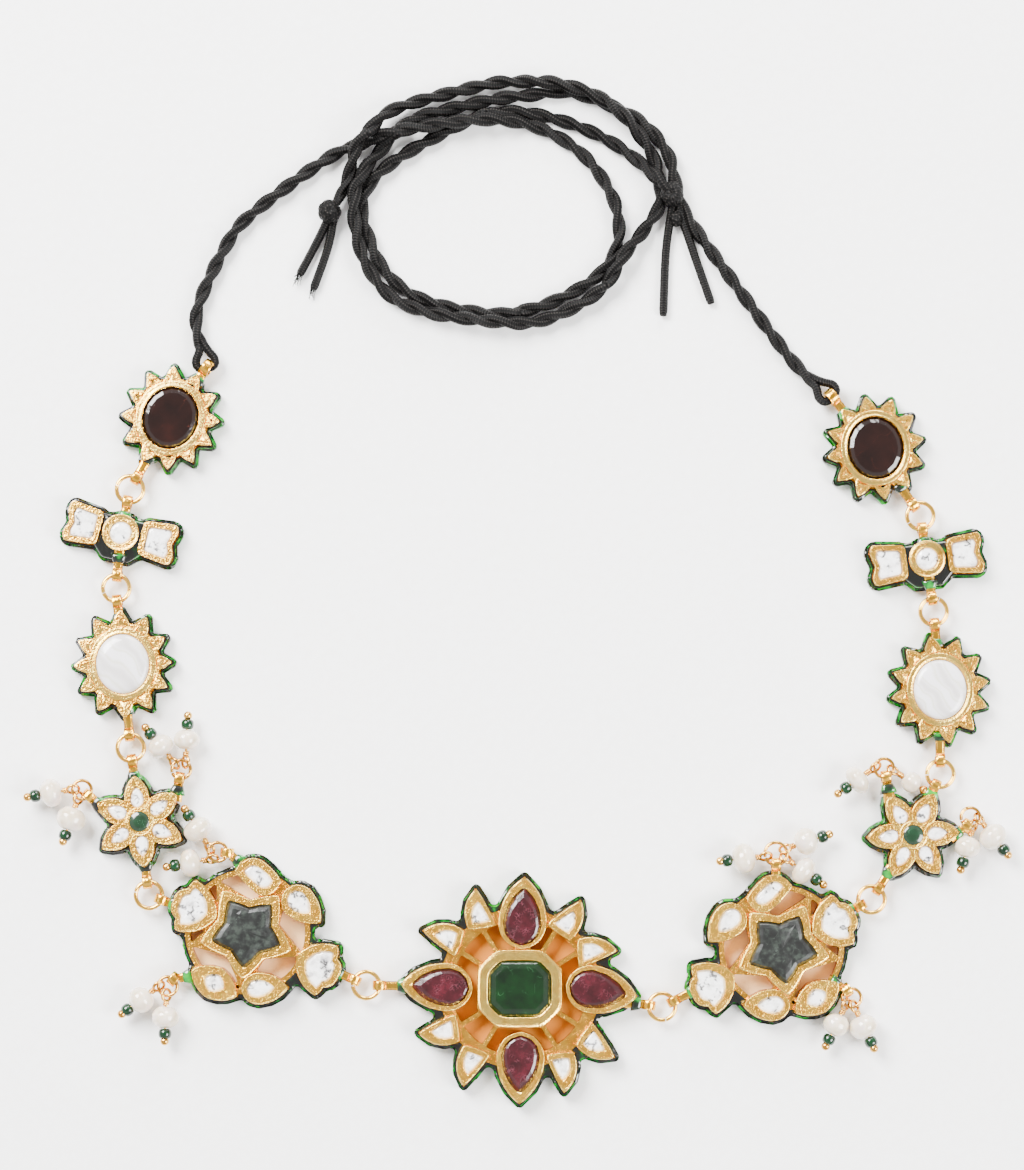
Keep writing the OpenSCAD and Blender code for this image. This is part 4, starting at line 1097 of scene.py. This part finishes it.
def pearl(drop, seed):
    """A flattened freshwater pearl with shallow growth rings and a dimple at each end of its bore."""
    piece = sphere("pearl", 1, 40, 26)
    rng = random.Random(seed)
    lean = [rng.uniform(-0.035, 0.035) for _ in range(6)]
    groove = rng.uniform(-0.3, 0.3)
    for vertex in piece.data.vertices:
        along, y, z = vertex.co / MM
        radial = math.hypot(y, z)
        turn = math.atan2(z, y)
        swell = 1 + lean[0] * math.cos(2 * turn + lean[1] * 90) + lean[2] * math.cos(3 * turn + lean[3] * 90)
        swell += 0.5 * lean[4] * math.cos(5 * turn) - 0.02 * math.exp(-(((along - groove) / 0.1) ** 2))
        flat = 1 - 0.16 * max(0, 1 - radial / 0.42)
        thick = 1 + lean[5] * math.cos(turn)
        vertex.co = Vector((
            along * drop[5] / 2 * flat * thick,
            y * drop[4] / 2 * swell,
            z * drop[4] / 2 * min(swell, 1.0),
        )) * MM
    piece.data.transform(Matrix.Translation((PEARL_REACH * MM, 0, 0)))
    piece.data.transform(drop_matrix(drop))
    smooth(piece)
    return piece


def seed_bead(drop):
    """A pressed glass bead with a wide bore, threaded between the pearl and the pin's ball."""
    profile = (
        (-0.86, 0.45), (-0.9, 0.72), (-0.66, 1.02), (-0.25, 1.15), (0.25, 1.15), (0.66, 1.02), (0.9, 0.72),
        (0.86, 0.45), (0, 0.3),
    )
    turns = [2 * math.pi * k / 20 for k in range(20)]
    rings = [[Vector((x, r * math.cos(a), r * math.sin(a))) * MM for a in turns] for x, r in profile]
    piece = closed_loft("seed_bead", rings)
    piece.data.transform(Matrix.Translation(((PEARL_REACH + drop[5] / 2 + 0.84) * MM, 0, 0)))
    piece.data.transform(drop_matrix(drop))
    smooth(piece)
    return piece


def pin_wire(drop):
    """A ball-ended pin whose other end is turned into a loop and wrapped round its own stem."""
    loop_wire, stem_wire, wrap_wire, wrap_reach, ball_radius = 0.29, 0.22, 0.2, 0.4, 0.78
    steps = 40
    rings = []
    for k in range(steps - 1):
        a = 2 * math.pi * k / steps
        ring = []
        for j in range(10):
            t = 2 * math.pi * j / 10
            reach = PIN_LOOP + loop_wire * math.cos(t)
            ring.append(Vector((reach * math.cos(a), loop_wire * math.sin(t), reach * math.sin(a))) * MM)
        rings.append(ring)
    eye = closed_loft("pin_loop", rings)
    eye.data.transform(Matrix.Rotation(math.radians(38), 4, "X"))
    stem_end = PEARL_REACH + drop[6]
    along = [Vector((PIN_LOOP + (stem_end - PIN_LOOP) * k / 8, 0, 0)) for k in range(9)]
    stem = tube("pin_stem", along, stem_wire, 10)
    turns, start, pitch = 2.6, PIN_LOOP + 0.18, 0.36
    if PEARL_REACH - drop[5] / 2 - start < 0.9:
        turns = 1.6
    coil = [
        Vector((start + pitch * turns * k / 48, wrap_reach * math.cos(a), wrap_reach * math.sin(a)))
        for k in range(49)
        for a in (2 * math.pi * turns * k / 48,)
    ]
    wrap = tube("pin_wrap", coil, wrap_wire, 8)
    ball = sphere("pin_ball", ball_radius, 20, 12)
    ball.data.transform(Matrix.Translation((stem_end * MM, 0, 0)))
    smooth(ball)
    smooth(eye, 60)
    for part in (eye, stem, wrap, ball):
        part.data.transform(drop_matrix(drop))
    return [eye, stem, wrap, ball]


def rope_path(side):
    """The rope's middle line, from the eye of its bail to the knot, in millimetres."""
    eye = Vector((*CORD_EYES[side], LINK_HEIGHT))
    on_table = [Vector(p) for p in ROUTES[side]]
    out = Vector((on_table[0].x - eye.x, on_table[0].y - eye.y, 0)).normalized()
    return eye, out, through([eye, eye + out * 2.4 + Vector((0, 0, -0.4))] + on_table, 0.55)


def rope(side, settings):
    """One cord, doubled over the bail's loop and twisted with itself down to the knot."""
    eye, out, middle = rope_path(side)
    aside = Vector((-out.y, out.x, 0))
    thick = settings.strand / MM / 2
    pitch, reach = settings.twist_pitch / MM, thick * STRAND_REACH
    halves = []
    for way in (1, -1):
        strand = [eye + out * o + aside * (way * w) for o, w in LOOP_BEND]
        travelled = 0
        across = frames(middle)
        for i, point in enumerate(middle):
            travelled += (point - middle[i - 1]).length if i else 0
            if travelled < TWIST_STARTS:
                continue
            left, up = across[i]
            point = Vector((point.x, point.y, max(point.z, reach + thick)))
            turn = 2 * math.pi * (travelled - TWIST_STARTS) / pitch
            turn += 0 if way * aside.dot(left) > 0 else math.pi
            end = min(1, (len(middle) - 1 - i) / 6)
            strand.append(point + reach * end * (math.cos(turn) * left + math.sin(turn) * up))
        halves.append(through(strand, 0.5))
    path = halves[0][::-1] + halves[1][1:]
    piece = tube(f"rope_{SIDES[side]}", path, thick, 10)
    return piece, [p * MM for p in middle], eye


def frayed_end(name, tail, seed):
    """Loose fibres at a cut end."""
    rng = random.Random(seed)
    end = Vector(tail[-1])
    out = (Vector(tail[-1]) - Vector(tail[-2])).normalized()
    fibres = []
    for k in range(16):
        start = end + Vector((rng.uniform(-0.5, 0.5), rng.uniform(-0.5, 0.5), rng.uniform(-0.35, 0.35)))
        lean = Vector((rng.uniform(-0.6, 0.6), rng.uniform(-0.6, 0.6), 0))
        reach = rng.uniform(0.7, 1.7)
        points = [start - out * 0.5, start + out * reach * 0.5 + lean * 0.3, start + out * reach + lean]
        for p in points:
            p.z = max(p.z, 0.12)
        fibres.append(tube(f"{name}_fibre", [Vector(p) for p in points], 0.08, 5, lambda t: 1 - 0.5 * t))
    return fibres


def tails(name, rows, frayed):
    parts = []
    for k, row in enumerate(rows):
        path = through(row, 0.5)
        parts.append(tube(f"{name}_{k}", path, TAIL_RADIUS, 12, lambda t: 1 - 0.25 * max(0, t - 0.96) / 0.04))
        if frayed:
            parts += frayed_end(f"{name}_{k}", row, 40 + k)
    return parts


def wound_ball(name, middle, radius, strand, wraps, stretch=1, towards=90):
    """A knot pulled tight: one strand laid round and round a ball, each turn across the one before."""
    path = []
    steps = 22 * wraps
    for k in range(steps + 1):
        t = k / steps
        tip, spin = math.radians(62), 2 * math.pi * t
        normal = Vector((math.sin(tip) * math.cos(spin), math.sin(tip) * math.sin(spin), math.cos(tip)))
        across = normal.cross(Vector((0, 0, 1))).normalized()
        turn = 2 * math.pi * wraps * t
        point = radius * (math.cos(turn) * across + math.sin(turn) * normal.cross(across))
        x, y = turned((point.x * stretch, point.y), towards)
        path.append(Vector(middle) + Vector((x, y, point.z)))
    return tube(name, path, strand, 10)


def knot_left():
    """Both strands tied into one tight round knot."""
    ball = wound_ball("knot_left_ball", KNOT_LEFT, 1.42, TAIL_RADIUS, 7)
    return joined("tied_knot_left", [ball] + tails("tail_left", TAILS_LEFT, True))


def knot_right():
    """A knot over both ropes, and a smaller one under it where the tails leave."""
    parts = [
        wound_ball("knot_right_ball", KNOT_RIGHT[0], 1.4, TAIL_RADIUS, 7, 1.25, -82),
        wound_ball("knot_right_foot", KNOT_RIGHT[1], 0.72, 0.66, 4, 1.2, -82),
    ]
    return joined("tied_knot_right", parts + tails("tail_right", TAILS_RIGHT, False))


# What a user would change


class NecklaceSettings(bpy.types.PropertyGroup):
    strand: bpy.props.FloatProperty(
        name="Strand", description="Diameter of one strand of the cord", default=1.56 * MM, unit="LENGTH"
    )
    twist_pitch: bpy.props.FloatProperty(
        name="Twist", description="Length of one full turn of the two strands", default=9.8 * MM, unit="LENGTH"
    )
    camera_distance: bpy.props.FloatProperty(
        name="Camera distance", description="From the camera to the middle of the view", default=0.6, unit="LENGTH"
    )
    camera_tilt: bpy.props.FloatProperty(
        name="Camera tilt", description="How far below straight above the camera stands",
        default=math.radians(4.5), subtype="ANGLE",
    )
    floor_width: bpy.props.FloatProperty(
        name="Floor", description="Width of the paper under the necklace", default=3.0, unit="LENGTH"
    )


class NECKLACE_OT_stage(bpy.types.Operator):
    """Lays the pale floor, sets the soft lights and places the camera"""

    bl_idname = "necklace.stage"
    bl_label = "Stage"

    def execute(self, context):
        settings = context.scene.necklace
        deselect()
        bpy.ops.mesh.primitive_plane_add(size=settings.floor_width, location=(0, 0.07, 0))
        floor = context.object
        floor.name = "paper_floor"
        floor.data.transform(floor.matrix_world)
        floor.matrix_world = Matrix.Identity(4)
        floor.data.materials.append(finish_of(pale_paper))
        centre = Vector(VIEW_CENTRE) * MM
        camera = bpy.data.objects.new("camera", bpy.data.cameras.new("camera"))
        context.collection.objects.link(camera)
        # A shift lens, parallel to the table: the photograph shows the lower sides but doesn't narrow upwards
        aside = settings.camera_distance * math.tan(settings.camera_tilt)
        view_height = PHOTO_HEIGHT * MM_PER_PIXEL * MM
        camera.location = centre + Vector((0, -aside, settings.camera_distance))
        camera.data.sensor_fit = "VERTICAL"
        camera.data.sensor_height = SENSOR
        camera.data.lens = SENSOR * settings.camera_distance / view_height
        camera.data.shift_y = aside / view_height
        camera.data.clip_start = 0.01
        context.scene.camera = camera
        for name, place_at, size, power in LIGHTS:
            light = bpy.data.lights.new(name, "AREA")
            light.size = size
            light.energy = power
            lamp = bpy.data.objects.new(name, light)
            context.collection.objects.link(lamp)
            lamp.location = place_at
            lamp.rotation_euler = (centre - Vector(place_at)).to_track_quat("-Z", "Y").to_euler()
        world = bpy.data.worlds.new("studio")
        world.use_nodes = True
        tree = world.node_tree
        background = tree.nodes["Background"]
        background.inputs["Color"].default_value = linear("#F4F2F0")
        height = add(tree, "SeparateXYZ", {"Vector": tree.nodes.new("ShaderNodeTexCoord").outputs["Generated"]})
        # Dim at the horizon and straight above, as in a tent with a dark opening for the camera
        up = add(tree, "FloatCurve", {"Value": height.outputs["Z"]})
        curve = up.mapping.curves[0]
        curve.points[0].location = (0, SKY_ENDS[0])
        curve.points[1].location = (1, SKY_ENDS[1])
        for x, y in SKY:
            curve.points.new(x, y)
        up.mapping.update()
        tree.links.new(times(tree, up.outputs["Value"], SKY_STRENGTH), background.inputs["Strength"])
        context.scene.world = world
        return {"FINISHED"}


class NECKLACE_OT_cords(bpy.types.Operator):
    """Lays the two twisted ropes and ties their knots"""

    bl_idname = "necklace.cords"
    bl_label = "Cords"

    def execute(self, context):
        settings = context.scene.necklace
        braid = finish_of(black_braid)
        left_knot = finished(knot_left(), braid, "cord", "knot_left")
        right_knot = finished(knot_right(), braid, "cord", "knot_right")
        for side, knot in ((0, right_knot), (1, left_knot)):
            piece, path, eye = rope(side, settings)
            finished(piece, braid, "cord", f"cord_{SIDES[side]}")
            length = sum((b - a).length for a, b in zip(path, path[1:]))
            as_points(path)
        return {"FINISHED"}


class NECKLACE_OT_medallion(bpy.types.Operator):
    """Builds the centre medallion's bezels, stones and enamel"""

    bl_idname = "necklace.medallion"
    bl_label = "Medallion"

    def execute(self, context):
        dressed("medallion_frame", finish_of(plated_brass))
        walls, rubies = set_stones("ruby", RUBIES, (0, 0), HIGH, 0, RUBY_CUT, stone_steps=4)
        leaf_walls, leaves = set_stones("leaf", HALF_LEAVES, (0, 0), HIGH, 10, LEAF_CUT, stone_steps=4)
        octagon = bezel("octagon_wall", octagon_points, OCTAGON[3], HIGH + 0.15, seat(HIGH)[0], 30)
        finish_walls("medallion_bezels", walls + leaf_walls + [octagon])
        finished(joined("ruby_stones", rubies), finish_of(ruby_stone), "ruby", "medallion_rubies")
        finish_polki("half_leaf_stones", leaves, "medallion_polki")
        emerald = cut_stone("emerald_stone", lambda i: octagon_points(i, 2), EMERALD_CUT, OCTAGON[3], HIGH, 3)
        finished(emerald, finish_of(emerald_stone), "emerald", "medallion_emerald")
        station_enamel("medallion", "medallion_enamel")
        bails = [link_bail(f"medallion_bail_{SIDES[s]}", (0, 0), LINKS[s][4], 19, MEDALLION_EDGE) for s in (0, 1)]
        finish_bails("medallion", bails)
        return {"FINISHED"}


class NECKLACE_OT_stars(bpy.types.Operator):
    """Builds both stars' bezels, stones and enamel"""

    bl_idname = "necklace.stars"
    bl_label = "Stars"

    def execute(self, context):
        for side, name, at in stations("star", STARS):
            walls, stones = set_stones("star", star_cells(side), at, HIGH, 50 + 20 * side, STAR_POLKI_CUT)
            outline = star_outline(side)
            walls.append(bezel("star_bezel", outline, STAR_NOTCH_WALL, HIGH + 0.05, seat(HIGH)[0], 90 + side))
            finish_walls(f"star_bezels_{name}", walls)
            finish_polki(f"star_polki_cut_{name}", stones, f"star_polki_{name}")
            outline = star_outline(side, 2)
            stone = cut_stone(f"star_cut_{name}", outline, STAR_STONE_CUT, STAR_NOTCH_WALL, HIGH, 5 + side)
            finished(stone, finish_of(star_stone), "star_stone", f"star_stone_{name}")
            station_enamel(f"star_{name}", f"star_enamel_{name}")
            bails = chain_bails("star", side, at, (4, 15, STAR_EDGE[0]), (3, 12.5, STAR_EDGE[1]))
            finish_bails(f"star_{name}", bails + pearl_bails("star", side, STAR_BAILS[side], STAR_DROPS[side], 2.2))
        return {"FINISHED"}


class NECKLACE_OT_flowers(bpy.types.Operator):
    """Builds both flowers' petals, stones and enamel"""

    bl_idname = "necklace.flowers"
    bl_label = "Flowers"

    def execute(self, context):
        foot, floor = seat(MIDDLE)
        for side, name, at in stations("flower", FLOWERS):
            seed = 120 + 10 * side
            walls, stones = set_stones("petal", petal_cells(side), at, MIDDLE, seed, PETAL_CUT, thinner=0.13)
            ring = oval_outline(2.58, 2.58, 0, at, 36)
            walls.append(bezel("flower_eye_bezel", ring, 0.62, MIDDLE + 0.03, foot, 140 + side))
            finish_walls(f"flower_bezels_{name}", walls)
            finish_polki(f"petal_stones_{name}", stones, f"flower_polki_{name}")
            dome = (
                (1.9, floor), (1.9, MIDDLE - 0.35), (1.78, MIDDLE - 0.08), (1.4, MIDDLE + 0.1),
                (0.8, MIDDLE + 0.19), (0.3, MIDDLE + 0.22),
            )
            rings = [at_height(moved(ellipse_points(r, r, 0, 32), at), z) for r, z in dome]
            eye = loft(f"flower_eye_{name}", rings)
            smooth(eye, 40)
            finished(eye, finish_of(flower_stone), "flower_green", f"flower_centre_{name}")
            station_enamel(f"flower_{name}", f"flower_enamel_{name}")
            bails = chain_bails("flower", side, at, (3, 7.2, FLOWER_EDGE), (2, 7.2, FLOWER_EDGE))
            bails += pearl_bails("flower", side, FLOWER_BAILS[side], FLOWER_DROPS[side], 1.7)
            finish_bails(f"flower_{name}", bails)
        return {"FINISHED"}


def sun_radius(sun, angle):
    return ellipse_radius(sun[1], sun[2], angle - sun[3])


def ray(sun, at, k, crest, foot):
    """One ray: a pointed field pressed down inside a raised border."""
    half = 180 / RAYS - VALLEY
    angle = sun[0] + 360 / RAYS * k
    corners = [
        (*place(angle + turn, sun_radius(sun, angle + turn) * share + 0.05), bulge)
        for turn, share, bulge in (
            (-half, NOTCH_SHARE, 0.05), (-0.9, 0.99, 0), (0.9, 0.99, 0.05), (half, NOTCH_SHARE, 0),
        )
    ]
    field = rounded_sides(corners, 3)[:9] + [corners[-1][:2]]
    for turn in (half, 0, -half):
        a = angle + turn
        field.append(place(a, ellipse_radius(sun[4], sun[5], a - sun[3]) + 1))
    deselect()
    bpy.ops.mesh.primitive_circle_add(vertices=len(field), radius=MM, fill_type="NGON")
    piece = bpy.context.object
    for vertex, point in zip(piece.data.vertices, at_height(moved(field, at), crest)):
        vertex.co = point
    bpy.ops.object.mode_set(mode="EDIT")
    bpy.ops.mesh.select_all(action="SELECT")
    bpy.ops.mesh.extrude_region_move(TRANSFORM_OT_translate={"value": (0, 0, (foot - crest) * MM)})
    bpy.ops.mesh.select_all(action="SELECT")
    bpy.ops.mesh.normals_make_consistent(inside=False)
    bpy.ops.mesh.select_mode(type="FACE")
    bpy.ops.mesh.select_all(action="DESELECT")
    mesh = bmesh.from_edit_mesh(piece.data)
    max(mesh.faces, key=lambda f: f.calc_center_median().z).select_set(True)
    bmesh.update_edit_mesh(piece.data)
    for thickness, depth in ((0.08, 0.08), (0.16, 0), (0.1, -0.42), (0.3, 0.16)):
        bpy.ops.mesh.inset(thickness=thickness * MM, depth=depth * MM, use_even_offset=False)
    bpy.ops.object.mode_set(mode="OBJECT")
    return piece


def sun_pieces(name, side, sun, at, stone_maker, slot, stone_node, dome):
    foot, floor = seat(MIDDLE)
    rays = joined(f"{name}_rays_{SIDES[side]}", [ray(sun, at, k, MIDDLE, foot) for k in range(RAYS)])
    wobble(rays, 0.03, 160 + side)
    smooth(rays, 40)
    long, short, axis = sun[4], sun[5], sun[3]
    section = (
        (0, foot), (-0.03, MIDDLE - 0.2), (0.04, MIDDLE + 0.06), (0.16, MIDDLE + 0.11), (0.5, MIDDLE + 0.1),
        (0.82, MIDDLE + 0.1), (0.93, MIDDLE + 0.2), (1.06, MIDDLE + 0.2), (1.18, MIDDLE + 0.06),
        (1.26, MIDDLE - 0.3), (1.26, MIDDLE - 0.8), (0.6, foot),
    )
    outline = oval_outline(long + 1.25, short + 1.25, axis, at, 60)
    band = closed_loft(name + "_band", [at_height(outline(inset), z) for inset, z in section])
    wobble(band, 0.04, 170 + side)
    modify(band, "SUBSURF", levels=1, render_levels=1)
    smooth(band)
    finish_walls(f"{name}_gold_{SIDES[side]}", [rays, band])
    stone_name = f"{name}_stone_{SIDES[side]}"
    if dome:
        outline = oval_outline(long, short, axis, at, 60)
        levels = (
            (0, floor), (0, MIDDLE - 0.5), (0.06, MIDDLE - 0.1), (0.2, MIDDLE + 0.22), (0.5, MIDDLE + 0.45),
            (1.1, MIDDLE + 0.66), (2, MIDDLE + 0.8), (3.1, MIDDLE + 0.88), (4.2, MIDDLE + 0.91),
        )
        stone = loft(stone_name, [at_height(outline(inset), z) for inset, z in levels])
        smooth(stone, 50)
    else:
        outline = oval_outline(long, short, axis, at, 18)
        stone = cut_stone(stone_name, outline, GARNET_CUT, 0, MIDDLE, 7 + side)
    finished(stone, finish_of(stone_maker), slot, stone_node)


class NECKLACE_OT_pearl_suns(bpy.types.Operator):
    """Builds both suns with mother-of-pearl cabochons"""

    bl_idname = "necklace.pearl_suns"
    bl_label = "Pearl suns"

    def execute(self, context):
        for side, name, at in stations("pearl_sun", PEARL_SUNS):
            sun_pieces("shell_sun", side, PEARL_SUN[side], at, shell_stone, "shell", f"pearl_cabochon_{name}", True)
            station_enamel(f"shell_sun_{name}", f"pearl_sun_enamel_{name}")
            bails = chain_bails("shell_sun", side, at, (2, 6.5, SUN_EDGE), (1, 6.5, SUN_EDGE))
            finish_bails(f"shell_sun_{name}", bails)
        return {"FINISHED"}


class NECKLACE_OT_garnet_suns(bpy.types.Operator):
    """Builds both suns with dark red stones and the cord's bails"""

    bl_idname = "necklace.garnet_suns"
    bl_label = "Garnet suns"

    def execute(self, context):
        for side, name, at in stations("garnet_sun", GARNET_SUNS):
            sun_pieces("red_sun", side, GARNET_SUN[side], at, garnet_stone, "garnet", f"garnet_{name}", False)
            station_enamel(f"red_sun_{name}", f"garnet_sun_enamel_{name}")
            eye = CORD_EYES[side]
            out = bearing(at, eye)
            reach = math.dist(at, eye)
            finish_bails(f"red_sun_{name}", [
                link_bail(f"red_sun_bail_{name}", at, LINKS[side][0], 6.5, SUN_EDGE),
                bail(f"cord_bail_{name}", eye, out, reach - 6.5, LINK_HEIGHT, out, reach - SUN_EDGE, 1.6, 1.05),
            ])
        return {"FINISHED"}


class NECKLACE_OT_bows(bpy.types.Operator):
    """Builds both bows' wings, round stones and enamelled bodies"""

    bl_idname = "necklace.bows"
    bl_label = "Bows"

    def execute(self, context):
        for side, name, at in stations("bow", BOWS):
            walls, stones = set_stones("wing", wing_cells(side), at, LOW, 200 + 10 * side, WING_CUT, 7)
            ring = oval_outline(BOW_BEZEL, BOW_BEZEL, 0, at, 40)
            wall = BOW_BEZEL - BOW_STONE
            walls.append(bezel("bow_eye_bezel", ring, wall, LOW + 0.12, seat(LOW)[0], 220 + side))
            finish_walls(f"bow_bezels_{name}", walls)
            outline = oval_outline(BOW_STONE, BOW_STONE, 0, at, 14)
            stones.append(cut_stone("bow_eye", outline, BOW_EYE_CUT, 0, LOW, 9 + side))
            finish_polki(f"bow_stones_{name}", stones, f"bow_polki_{name}")
            station_enamel(f"bow_{name}", f"bow_enamel_{name}")
            hump = ((-4.8, -2.6), (-2.4, -4.95), (2.4, -4.95), (4.8, -2.6), (4.6, 2.8), (-4.6, 2.8))
            body = moved([turned(p, BOW_TURN[side]) for p in filleted(hump, 1.2, 5)], at)
            glaze = loft(f"bow_body_glaze_{name}", [at_height(body, 0.3), at_height(body, LOW - 0.75)])
            modify(glaze, "BEVEL", width=0.35 * MM, segments=3, limit_method="ANGLE", angle_limit=math.radians(60))
            smooth(glaze, 40)
            mark_thin_and_glint(glaze)
            finished(glaze, finish_of(enamel_glaze), "enamel")
            finish_bails(f"bow_{name}", chain_bails("bow", side, at, (1, 2.5, BOW_EDGE[0]), (0, 2.5, BOW_EDGE[1])))
        return {"FINISHED"}


class NECKLACE_OT_jump_rings(bpy.types.Operator):
    """Bends the ten jump rings of the chain, each with the cut at which it was closed"""

    bl_idname = "necklace.jump_rings"
    bl_label = "Jump rings"

    def execute(self, context):
        rng = random.Random(11)
        for side, name in enumerate(SIDES):
            for k, middle in enumerate(LINKS[side]):
                cut = rng.uniform(0, 360)
                ring = torus(f"jump_ring_{name}_{k + 1}", middle, LINK_RADIUS, LINK_WIRE, LINK_HEIGHT, 2.5, cut)
                finished(ring, finish_of(pale_wire), "gold", f"link_ring_{name}_{k + 1}")
        return {"FINISHED"}


class NECKLACE_OT_pearl_drops(bpy.types.Operator):
    """Threads the pearls and seed beads on their ball-ended pins"""

    bl_idname = "necklace.pearl_drops"
    bl_label = "Pearl drops"

    def execute(self, context):
        for side, name in enumerate(SIDES):
            beads, wires = [], []
            for kind, rows in (("flower", FLOWER_DROPS[side]), ("star", STAR_DROPS[side])):
                pearls = [pearl(drop, 300 + 10 * side + k + (kind == "star") * 50) for k, drop in enumerate(rows)]
                drops = joined(f"{kind}_pearl_drops_{name}", pearls)
                finished(drops, finish_of(pearl_skin), "pearl", f"{kind}_pearls_{name}")
                for drop in rows:
                    wires += pin_wire(drop)
                    if drop[6] == BALL:
                        beads.append(seed_bead(drop))
                for middle, radius in sorted({(drop[0], drop[1]) for drop in rows}):
                    wires.append(torus("drop_ring", middle, radius, 0.64, DROP_HEIGHT, 4, 200, 10, 40))
            finished(joined(f"pins_and_rings_{name}", wires), finish_of(copper_wire), "gold", f"drop_pins_{name}")
            finished(joined(f"seed_beads_{name}", beads), finish_of(bead_glass), "flower_green")
        return {"FINISHED"}


OPERATORS = (
    NECKLACE_OT_stage, NECKLACE_OT_cords, NECKLACE_OT_medallion, NECKLACE_OT_stars, NECKLACE_OT_flowers,
    NECKLACE_OT_pearl_suns, NECKLACE_OT_garnet_suns, NECKLACE_OT_bows, NECKLACE_OT_jump_rings,
    NECKLACE_OT_pearl_drops,
)


class NECKLACE_PT_panel(bpy.types.Panel):
    """The necklace's sizes and the steps that build it"""

    bl_idname = "NECKLACE_PT_panel"
    bl_label = "Kundan necklace"
    bl_space_type = "VIEW_3D"
    bl_region_type = "UI"
    bl_category = "Necklace"

    def draw(self, context):
        settings = context.scene.necklace
        for key in NecklaceSettings.__annotations__:
            self.layout.prop(settings, key)
        for operator in OPERATORS:
            self.layout.operator(operator.bl_idname)


CLASSES = (NecklaceSettings,) + OPERATORS + (NECKLACE_PT_panel,)


def register():
    for item in CLASSES:
        bpy.utils.register_class(item)
    bpy.types.Scene.necklace = bpy.props.PointerProperty(type=NecklaceSettings)


def unregister():
    del bpy.types.Scene.necklace
    for item in reversed(CLASSES):
        bpy.utils.unregister_class(item)


def main():
    register()
    bpy.ops.necklace.stage()
    bpy.ops.necklace.cords()
    bpy.ops.necklace.medallion()
    bpy.ops.necklace.stars()
    bpy.ops.necklace.flowers()
    bpy.ops.necklace.pearl_suns()
    bpy.ops.necklace.garnet_suns()
    bpy.ops.necklace.bows()
    bpy.ops.necklace.jump_rings()
    bpy.ops.necklace.pearl_drops()


if __name__ == "__main__":
    main()
